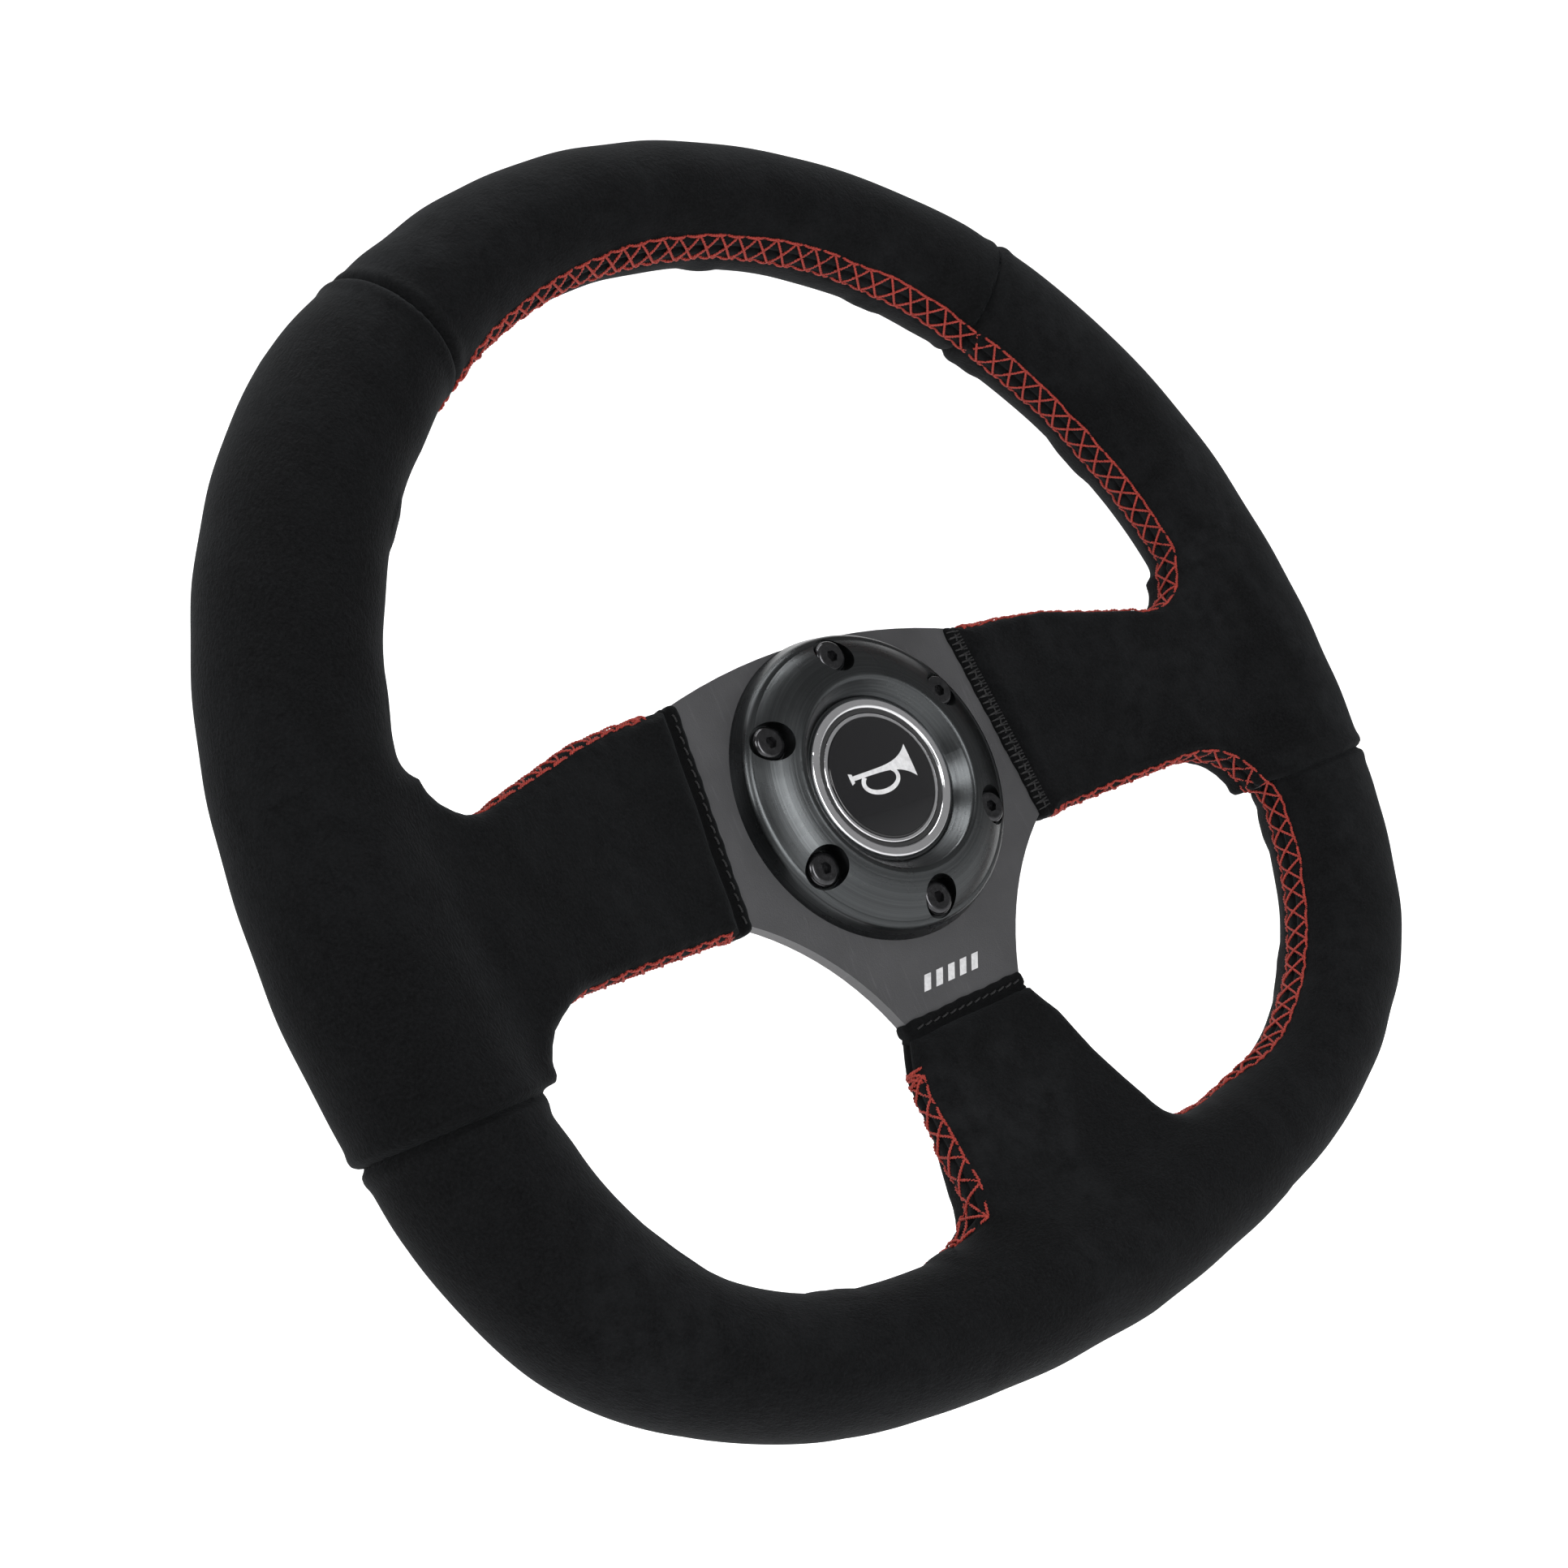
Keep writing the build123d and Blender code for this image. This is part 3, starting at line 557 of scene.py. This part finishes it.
for name, (line, across, run) in seam_frames.items():
    stops = np.arange(2.5, run[-1] - 2.5, PITCH)
    jitter = rng.normal(0, 0.27, (4, len(stops)))
    aside = sample(across, run, stops)
    left = onto_grip(sample(line, run, stops + jitter[0]) + aside * (ROW + jitter[2][:, None]))
    right = onto_grip(sample(line, run, stops + jitter[1]) - aside * (ROW + jitter[3][:, None]))
    legs = (
        (left[:-1], right[1:], 0.20, 0), (right[:-1], left[1:], 0.48, 0),
        (left[:-1], left[1:], 0.25, 0.9), (right[:-1], right[1:], 0.25, 0.9),
    )
    paths, outs = [], []
    steps = 23
    for start, end, proud, dip in legs:
        t = steps_to_one(steps)
        path = between(start, end, t)
        flat = onto_grip(path.reshape(-1, 3))
        flat_out = slope(flat).reshape(path.shape)
        holes = np.exp(-(t / 0.05) ** 2) + np.exp(-((1 - t) / 0.05) ** 2)
        bow = (proud + 0.05) * np.sin(np.pi * t) ** 0.5 - 0.45 * holes + 0.1
        bow = bow - dip * np.exp(-((t - 0.62) / 0.16) ** 2)
        paths.append(flat.reshape(path.shape) + flat_out * bow)
        outs.append(flat_out)
    t = steps_to_one(23)
    pick = np.linspace(0, 22, steps).round().astype(int)
    for stop in (stops[0], stops[-1]):
        spots = stop + rng.uniform(-2.4, 2.4, (2, STRAYS))
        rows = np.stack([rng.uniform(1.2, ROW, STRAYS), -rng.uniform(1.2, ROW, STRAYS)])
        rows = rows * np.where(np.arange(STRAYS) % 2, 1, -1)
        start, end = (sample(line, run, at) + sample(across, run, at) * off[:, None] for at, off in zip(spots, rows))
        path = between(start, end, t)
        flat = onto_grip(path.reshape(-1, 3))
        flat_out = slope(flat).reshape(path.shape)
        arch = rng.uniform(0.3, 1.0, STRAYS)[:, None, None]
        bow = 0.1 + arch * np.sin(np.pi * t) - 0.35 * (np.abs(2 * t - 1) > 0.94)
        knot = flat.reshape(path.shape) + flat_out * bow
        paths.append(knot[:, pick])
        outs.append(flat_out[:, pick])
    thread_mesh(f"lacing_{name}", np.concatenate(paths), np.concatenate(outs), LACE_RADIUS, red_thread)

# --------------------------------------------------------------------------------------------------
# Hems. Where each spoke's suede ends at the hub, its edge is folded under and held by a narrow strip glued
# round the metal arm, with a row of small black stitches.
# --------------------------------------------------------------------------------------------------
hem_suede = suede_finish("hem_suede", (0.001, 0.001, 0.0011), (0.004, 0.0042, 0.0045), 9)
HEMS = {
    "left": ((-52.0, 35.3), (-57.2, -25.2), (1, 0.08)),
    "right": ((52.0, 35.3), (57.2, -25.2), (-1, 0.08)),
    "bottom": ((-21.6, -65.6), (21.6, -65.6), (0, 1)),
}
HEM_FRONT, HEM_BACK, HEM_CORNER, HEM_SINK = -18.2, -12.8, 1.6, 0.4
# Across the strip: distance towards the hub and height of the folded edge.
HEM_PROFILE = [(-2.0, 0.2), (-0.5, 0.75), (0.3, 0.35), (1.0, 0.8), (2.0, 0.9), (3.2, 0.75), (3.9, 0.35),
               (4.1, -0.4), (4.0, -1.2)]


def hem_loop(length, r):
    """Rounded rectangle round the arm: rows of (along, depth, outward along, outward depth)."""
    loop = []
    corners = ((length - r, HEM_FRONT + r), (length - r, HEM_BACK - r), (r, HEM_BACK - r), (r, HEM_FRONT + r))
    for (lx, ly), first in zip(corners, (-90, 0, 90, 180)):
        for a in np.radians(np.linspace(first, first + 90, 6)):
            loop.append((lx + r * np.cos(a), ly + r * np.sin(a), np.cos(a), np.sin(a)))
    dense = []
    for here, there in zip(loop, loop[1:] + loop[:1]):
        parts = max(1, int(np.hypot(there[0] - here[0], there[1] - here[1]) / 1.2))
        dense += [tuple(a + (b - a) * k / parts for a, b in zip(here, there)) for k in range(parts)]
    return dense


def on_hem(edge, w, u, y):
    """Places w along a hem and u from it towards the hub, at depth y."""
    start, ends, inward = edge
    x, z = (start[k] + ends[k] * w + inward[k] * u for k in (0, 1))
    return np.stack(np.broadcast_arrays(x, y, z), axis=-1)


for name, (start, end, inward) in HEMS.items():
    start, end, inward = np.array(start), np.array(end), np.array(inward) / np.hypot(*inward)
    length = np.hypot(*(end - start))
    ends = (end - start) / length
    verts, faces = [], []
    loop, width = hem_loop(length, HEM_CORNER), len(HEM_PROFILE)
    for w, y, out_w, out_y in loop:
        for u, h in HEM_PROFILE:
            waver = 0.12 * np.sin(w * 1.1 + u) + 0.1 * np.sin(w * 0.37)
            x, z = start + ends * (w + out_w * (h - HEM_SINK)) + inward * (u + waver)
            verts.append((x / 1000, (y + out_y * (h - HEM_SINK)) / 1000, z / 1000))
    for k in range(len(loop)):
        here, there = k * width, (k + 1) % len(loop) * width
        faces += [(here + j, there + j, there + j + 1, here + j + 1) for j in range(width - 1)]
    mesh = bpy.data.meshes.new(f"hem_{name}")
    mesh.from_pydata(verts, [], faces)
    face_out(mesh)
    piece = show(f"hem_{name}", mesh, hem_suede)
    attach(piece, "frame")
    edge = (start, ends, inward)
    dashes = np.arange(2.5, length - 2.5, 3.0)
    t = steps_to_one(9)
    first = on_hem(edge, dashes, 1.6, HEM_FRONT - 0.72)
    last = on_hem(edge, dashes + 2.1, 1.6 + 0.5, HEM_FRONT - 0.72)
    path = between(first, last, t)
    path[..., 1] -= 0.28 * np.sin(np.pi * t[..., 0]) - 0.12
    if name == "right":
        slant = np.arange(1.5, length - 2.6, 0.95)
        low = rng.uniform(-1.2, -0.6, len(slant))
        high = rng.uniform(3.7, 4.3, len(slant))
        lean = np.where(np.arange(len(slant)) % 2, 1.2, 0.1)
        u = low[:, None] * (1 - t[..., 0]) + high[:, None] * t[..., 0]
        w = slant[:, None] + lean[:, None] * t[..., 0]
        rise = np.interp(u, *np.array(HEM_PROFILE).T) - HEM_SINK + 0.12
        path = np.concatenate([path, on_hem(edge, w, u, HEM_FRONT - rise)])
    outs = np.broadcast_to(np.array([0, -1.0, 0]), path.shape)
    thread_mesh(f"hem_stitches_{name}", path, outs, HEM_STITCH_RADIUS, black_thread, 5, 1.3)

# --------------------------------------------------------------------------------------------------
# Metal frame. Laser-cut aluminium plate, blasted and anodised dark grey; the 12 mm hoop is welded to its
# arms and lies out of sight in the foam.
# --------------------------------------------------------------------------------------------------
def crisp(node, width=0.00018):
    """Softens a CAD node's sharp edges so that they catch light."""
    b = node.modifiers.new("edges", "BEVEL")
    b.width, b.segments, b.limit_method, b.angle_limit = width, 2, "ANGLE", radians(35)
    b.harden_normals = True
    node.data.shade_smooth()


def paint(names, material):
    for name in names:
        node = nodes[name]
        node.data.materials.clear()
        node.data.materials.append(material)


m, n, l, p = shade("anodised_plate", (0.07, 0.07, 0.074), 0.55, metal=0.5)
blasted = grain(m, 2600, 3, (1, 1, 1), 0.65)
cloud = grain(m, 35, 4)
scuffs = spread(m, grain(m, 90, 6, (14, 1, 1), 0.55, 0.4), 0.6, 0.72)
colour = tint(m, spread(m, cloud, 0.3, 0.7), (0.062, 0.062, 0.065), (0.08, 0.08, 0.084))
colour = tint(m, spread(m, scuffs, 0, 1, 0, 0.3), colour, (0.13, 0.13, 0.135))
colour = tint(m, specks(m, 120, 0.00022, 0.12), colour, (0.2, 0.2, 0.2))
l.new(colour, p.inputs["Base Color"])
l.new(spread(m, cloud, 0.3, 0.7, 0.44, 0.56), p.inputs["Roughness"])
relief(m, p, [(blasted, 0.00012, 0.5), (scuffs, 0.00005, 0.2)])
paint(("spoke_plate",), m)
crisp(nodes["spoke_plate"], 0.0004)

m, n, l, p = shade("bare_aluminium", (0.55, 0.55, 0.56), 0.45, metal=1.0)
mill = grain(m, 500, 4, (1, 6, 6))
l.new(tint(m, mill, (0.45, 0.45, 0.46), (0.62, 0.62, 0.63)), p.inputs["Base Color"])
relief(m, p, [(mill, 0.0001, 0.3)])
paint(("rim_hoop",), m)

m, n, l, p = shade("grip_foam", (0.005, 0.005, 0.005), 0.95)
pores = grain(m, 900, 3)
p.inputs["Specular IOR Level"].default_value = 0.1
l.new(tint(m, pores, (0.003, 0.003, 0.003), (0.007, 0.007, 0.007)), p.inputs["Base Color"])
relief(m, p, [(pores, 0.0004, 0.6)])
paint(("grip_foam",), m)

# --------------------------------------------------------------------------------------------------
# Trim ring. Turned aluminium, black anodised, with fine lathe rings; six counterbores take button-head
# hex screws finished in black oxide.
# --------------------------------------------------------------------------------------------------
def lathe_rings(m, per_mm):
    """Fine turned grooves about the steering axis: noise that depends on radius and depth only."""
    n, l = m.node_tree.nodes, m.node_tree.links
    place, split = n.new("ShaderNodeTexCoord"), n.new("ShaderNodeSeparateXYZ")
    flat, radius = n.new("ShaderNodeVectorMath"), n.new("ShaderNodeVectorMath")
    join, noise = n.new("ShaderNodeCombineXYZ"), n.new("ShaderNodeTexNoise")
    flat.operation, radius.operation = "MULTIPLY", "LENGTH"
    flat.inputs[1].default_value = (1, 0, 1)
    l.new(place.outputs["Object"], flat.inputs[0])
    l.new(place.outputs["Object"], split.inputs["Vector"])
    l.new(flat.outputs["Vector"], radius.inputs[0])
    l.new(radius.outputs["Value"], join.inputs["X"])
    l.new(split.outputs["Y"], join.inputs["Y"])
    noise.inputs["Scale"].default_value, noise.inputs["Detail"].default_value = per_mm * 1000, 3
    l.new(join.outputs["Vector"], noise.inputs["Vector"])
    return noise.outputs["Fac"]


m, n, l, p = shade("anodised_ring", (0.035, 0.037, 0.038), 0.3, metal=1.0)
turned = lathe_rings(m, 2.6)
worn = spread(m, grain(m, 60, 5, (1, 1, 1), 0.6, 0.6), 0.45, 0.75)
colour = tint(m, turned, (0.036, 0.038, 0.04), (0.085, 0.09, 0.092))
colour = tint(m, specks(m, 150, 0.00012, 0.12), colour, (0.12, 0.12, 0.12))
l.new(colour, p.inputs["Base Color"])
l.new(spread(m, worn, 0, 1, 0.27, 0.37), p.inputs["Roughness"])
p.inputs["Anisotropic"].default_value = 0.45
relief(m, p, [(turned, 0.00006, 0.55), (grain(m, 1400, 2), 0.00003, 0.3)])
paint(("trim_ring",), m)
crisp(nodes["trim_ring"], 0.00035)

m, n, l, p = shade("black_oxide", (0.04, 0.04, 0.042), 0.18, metal=0.95)
oil = grain(m, 700, 4)
l.new(tint(m, oil, (0.03, 0.03, 0.032), (0.09, 0.09, 0.094)), p.inputs["Base Color"])
l.new(spread(m, oil, 0.3, 0.7, 0.12, 0.28), p.inputs["Roughness"])
relief(m, p, [(oil, 0.00005, 0.3)])
paint(("ring_screws",), m)
crisp(nodes["ring_screws"], 0.00025)

# --------------------------------------------------------------------------------------------------
# Horn button. Chromed bezel and a bright hairline ring round a gloss black cap, on a black moulded housing.
# --------------------------------------------------------------------------------------------------
m, n, l, p = shade("chrome", (0.78, 0.78, 0.8), 0.08, metal=1.0)
haze = grain(m, 300, 4)
l.new(tint(m, haze, (0.7, 0.7, 0.72), (0.82, 0.82, 0.84)), p.inputs["Base Color"])
l.new(spread(m, haze, 0.3, 0.7, 0.05, 0.14), p.inputs["Roughness"])
relief(m, p, [(haze, 0.00002, 0.15)])
paint(("horn_bezel", "cap_ring"), m)
crisp(nodes["horn_bezel"], 0.0002)
crisp(nodes["cap_ring"], 0.00012)

m, n, l, p = shade("gloss_black", (0.006, 0.006, 0.007), 0.09, coat=0.35)
swirl = spread(m, grain(m, 500, 5, (9, 1, 1), 0.6, 1.0), 0.55, 0.75)
dust = specks(m, 180, 0.00008, 0.15)
l.new(tint(m, dust, (0.006, 0.006, 0.007), (0.14, 0.14, 0.15)), p.inputs["Base Color"])
l.new(spread(m, swirl, 0, 1, 0.07, 0.16), p.inputs["Roughness"])
p.inputs["Coat Roughness"].default_value = 0.04
p.inputs["Specular IOR Level"].default_value = 0.4
relief(m, p, [(grain(m, 110, 2), 0.00005, 0.08), (swirl, 0.00001, 0.1)])
paint(("horn_cap",), m)
crisp(nodes["horn_cap"], 0.00015)

m, n, l, p = shade("black_plastic", (0.014, 0.014, 0.015), 0.55)
mould = grain(m, 1800, 3)
l.new(tint(m, mould, (0.01, 0.01, 0.011), (0.022, 0.022, 0.023)), p.inputs["Base Color"])
relief(m, p, [(mould, 0.0001, 0.4)])
paint(("horn_housing", "horn_base", "contact_carrier"), m)

m, n, l, p = shade("brass", (0.6, 0.4, 0.14), 0.25, metal=1.0)
tarnish = grain(m, 250, 4)
l.new(tint(m, spread(m, tarnish, 0.35, 0.7), (0.62, 0.42, 0.16), (0.34, 0.22, 0.09)), p.inputs["Base Color"])
l.new(spread(m, tarnish, 0.3, 0.7, 0.2, 0.42), p.inputs["Roughness"])
relief(m, p, [(tarnish, 0.00003, 0.2)])
paint(("moving_contact", "fixed_contacts", "horn_terminals", "contact_rings"), m)

m, n, l, p = shade("spring_steel", (0.3, 0.3, 0.31), 0.32, metal=1.0)
drawn = grain(m, 900, 3)
l.new(tint(m, drawn, (0.2, 0.2, 0.21), (0.42, 0.42, 0.44)), p.inputs["Base Color"])
relief(m, p, [(drawn, 0.00004, 0.25)])
paint(("horn_spring", "horn_clip", "collar_spring", "retaining_ring"), m)

# --------------------------------------------------------------------------------------------------
# Quick release coupling. Black anodised hub, red anodised pull collar and polished steel balls.
# --------------------------------------------------------------------------------------------------
m, n, l, p = shade("anodised_hub", (0.02, 0.02, 0.022), 0.36, metal=0.85)
turned = lathe_rings(m, 2.0)
l.new(tint(m, turned, (0.014, 0.014, 0.015), (0.04, 0.04, 0.042)), p.inputs["Base Color"])
l.new(spread(m, grain(m, 80, 4), 0.3, 0.7, 0.3, 0.45), p.inputs["Roughness"])
relief(m, p, [(turned, 0.00006, 0.5)])
paint(("coupling_hub",), m)
crisp(nodes["coupling_hub"], 0.0003)

m, n, l, p = shade("anodised_collar", (0.3, 0.012, 0.012), 0.32, metal=0.9)
turned = lathe_rings(m, 2.0)
rubbed = spread(m, grain(m, 120, 5), 0.55, 0.75)
colour = tint(m, turned, (0.22, 0.008, 0.008), (0.4, 0.02, 0.02))
colour = tint(m, spread(m, rubbed, 0, 1, 0, 0.35), colour, (0.5, 0.12, 0.1))
l.new(colour, p.inputs["Base Color"])
relief(m, p, [(turned, 0.00005, 0.5)])
paint(("release_collar",), m)
crisp(nodes["release_collar"], 0.0003)

m, n, l, p = shade("ball_steel", (0.6, 0.6, 0.62), 0.12, metal=1.0)
oil = grain(m, 600, 3)
l.new(tint(m, oil, (0.5, 0.5, 0.52), (0.68, 0.68, 0.7)), p.inputs["Base Color"])
l.new(spread(m, oil, 0.3, 0.7, 0.08, 0.2), p.inputs["Roughness"])
relief(m, p, [(oil, 0.00002, 0.1)])
lock_balls = [f"lock_ball_{k}" for k in range(1, 7)]
paint(lock_balls, m)
for name in lock_balls:
    nodes[name].data.shade_smooth()

# --------------------------------------------------------------------------------------------------
# Springs. Drawn steel coils under the horn cap and inside the release collar, copied as fixed meshes onto the frame.
# --------------------------------------------------------------------------------------------------
SPRINGS = (("horn_spring", "horn_press", -0.0170, 0.737), ("collar_spring", "collar_slide", -0.0065, 0.5))
for name, joint, seat, keep in SPRINGS:
    mesh = nodes[name].data.copy()
    mesh.transform(nodes[name].matrix_world)
    coil = show(f"{name}_coil", mesh, smooth=False)
    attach(coil, "frame")
    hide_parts(name)
    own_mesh(coil)

# --------------------------------------------------------------------------------------------------
# Printed marks. A plain bugle pictogram on the horn cap and a row of slanted bars on the lower plate, both
# pad printed in pale grey ink a few hundredths of a millimetre thick.
# --------------------------------------------------------------------------------------------------
m, n, l, p = shade("pale_ink", (0.6, 0.6, 0.61), 0.45)
speckle = grain(m, 900, 4)
l.new(tint(m, spread(m, speckle, 0.3, 0.7), (0.5, 0.5, 0.51), (0.68, 0.68, 0.69)), p.inputs["Base Color"])
relief(m, p, [(speckle, 0.00002, 0.3)])
ink = m


INK_TOP, INK_BOTTOM = -0.00005, 0.00004


def printed(name, strips, node, body):
    """Thin layer of ink between pairs of edge lines, laid on a CAD node's front face."""
    verts, faces, columns = [], [], 5
    for first, second in strips:
        first, second = np.array(first, float), np.array(second, float)
        base, rows = len(verts), len(first)
        for layer in (INK_TOP, INK_BOTTOM):
            for a, b in zip(first, second):
                for k in range(columns):
                    x, z = (a + (b - a) * k / (columns - 1)) / 1000
                    before = node.matrix_world.inverted() @ Vector((x, -0.06, z))
                    face_point = node.ray_cast(before, Vector((0, 1, 0)))[1]
                    verts.append((x, (node.matrix_world @ face_point).y + layer, z))
        number = np.arange(2 * rows * columns).reshape(2, rows, columns) + base
        for k in (0, 1):
            g = number[k]
            cells = np.stack([g[:-1, :-1], g[1:, :-1], g[1:, 1:], g[:-1, 1:]], axis=-1)
            faces += cells.reshape(-1, 4).tolist()
        edge = [number[:, 0, :], number[:, -1, :], number[:, :, 0], number[:, :, -1]]
        for e in edge:
            faces += np.stack([e[0, :-1], e[0, 1:], e[1, 1:], e[1, :-1]], axis=-1).tolist()
    mesh = bpy.data.meshes.new(name)
    mesh.from_pydata(verts, [], faces)
    face_out(mesh)
    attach(show(name, mesh, ink, smooth=False), body)


BELL_LENGTH, BELL_Z, MARK_TOP, MARK_FOOT = 21, 1.8, -52.2, -56.2
flare = [(-BELL_LENGTH / 2 + BELL_LENGTH * t, 0.65 + 4.0 * t ** 5) for t in np.linspace(0, 1, 25)]
bell = tuple([(x, BELL_Z + sign * half) for x, half in flare] for sign in (1, -1))
lip = ([(-11.4, 3.4), (-10.3, 3.0)], [(-11.4, 0.2), (-10.3, 0.6)])
bend = np.radians(np.linspace(-125, 125, 33))
tube = tuple([(-2 + wide * np.sin(a), -0.8 - high * np.cos(a)) for a in bend]
             for wide, high in ((6.6, 3.9), (5.3, 2.6)))
printed("horn_pictogram", [bell, lip, tube], nodes["horn_cap"], "horn_button")
bars = [([(x, MARK_TOP), (x - 2.2, MARK_FOOT)], [(x + 2.4, MARK_TOP), (x + 0.2, MARK_FOOT)])
        for x in (-9, -4.6, -0.2, 4.2, 8.6)]
printed("plate_marks", bars, nodes["spoke_plate"], "frame")

# --------------------------------------------------------------------------------------------------
# Setting: white paper floor curving up into a backdrop, soft boxes in front, to the left and overhead.
# --------------------------------------------------------------------------------------------------
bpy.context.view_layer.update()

m, n, l, p = shade("paper", (0.8, 0.8, 0.8), 0.9)
l.new(tint(m, grain(m, 6, 3), (0.78, 0.78, 0.78), (0.82, 0.82, 0.82)), p.inputs["Base Color"])
p.inputs["Emission Color"].default_value = (1, 1, 1, 1)
where, split = n.new("ShaderNodeTexCoord"), n.new("ShaderNodeSeparateXYZ")
l.new(where.outputs["Object"], split.inputs["Vector"])
l.new(spread(m, split.outputs["Y"], -0.6, 0.25, 0, 0.8), p.inputs["Emission Strength"])
floor_z, curve_start, curve = -0.42, 2.2, 1.6
sweep = [(y, floor_z) for y in (-12.0, -0.6, 0.3, curve_start)]
sweep += [(curve_start + curve * np.sin(a), floor_z + curve - curve * np.cos(a))
          for a in np.linspace(0.1, 1.5, 12)]
sweep.append((curve_start + curve, 14.0))
verts = [(x, y, z) for y, z in sweep for x in (-20.0, 20.0)]
faces = [(2 * k, 2 * k + 1, 2 * k + 3, 2 * k + 2) for k in range(len(sweep) - 1)]
mesh = bpy.data.meshes.new("floor_and_backdrop")
mesh.from_pydata(verts, [], faces)
show("floor_and_backdrop", mesh, m)

world = bpy.data.worlds.new("studio")
scene.world = world
world.use_nodes = True
world.node_tree.nodes["Background"].inputs["Color"].default_value = (1, 1, 1, 1)
world.node_tree.nodes["Background"].inputs["Strength"].default_value = 0.3
LAMPS = (
    ("front", (-0.27, -1.6, 0.1), 0.55, 1.1, 13.0),
    ("left", (-1.35, -0.75, 0.8), 0.5, 0.7, 8.0),
    ("top", (0.0, -0.2, 1.7), 1.4, 0.8, 24.0),
)
for name, where, wide, high, power in LAMPS:
    lamp = bpy.data.lights.new(name, "AREA")
    lamp.shape, lamp.energy, lamp.size, lamp.size_y = "RECTANGLE", power, wide, high
    light = bpy.data.objects.new(name, lamp)
    light.location = where
    light.rotation_euler = (-Vector(where)).to_track_quat("-Z", "Y").to_euler()
    scene.collection.objects.link(light)

camera_at, camera_aim = Vector((-0.2920, -0.3718, -0.0467)), Vector((-0.0317, -0.0250, 0.0063))
camera_roll = 23.55
camera = bpy.data.objects.new("camera", bpy.data.cameras.new("camera"))
camera.data.lens, camera.data.sensor_width, camera.data.clip_start = 39.46, 36.0, 0.01
aim = (camera_aim - camera_at).to_track_quat("-Z", "Y").to_matrix()
roll = Matrix.Rotation(radians(-camera_roll), 3, "Z")
camera.matrix_world = Matrix.Translation(camera_at) @ (aim @ roll).to_4x4()
scene.collection.objects.link(camera)
scene.camera = camera
scene.view_settings.view_transform = "Standard"
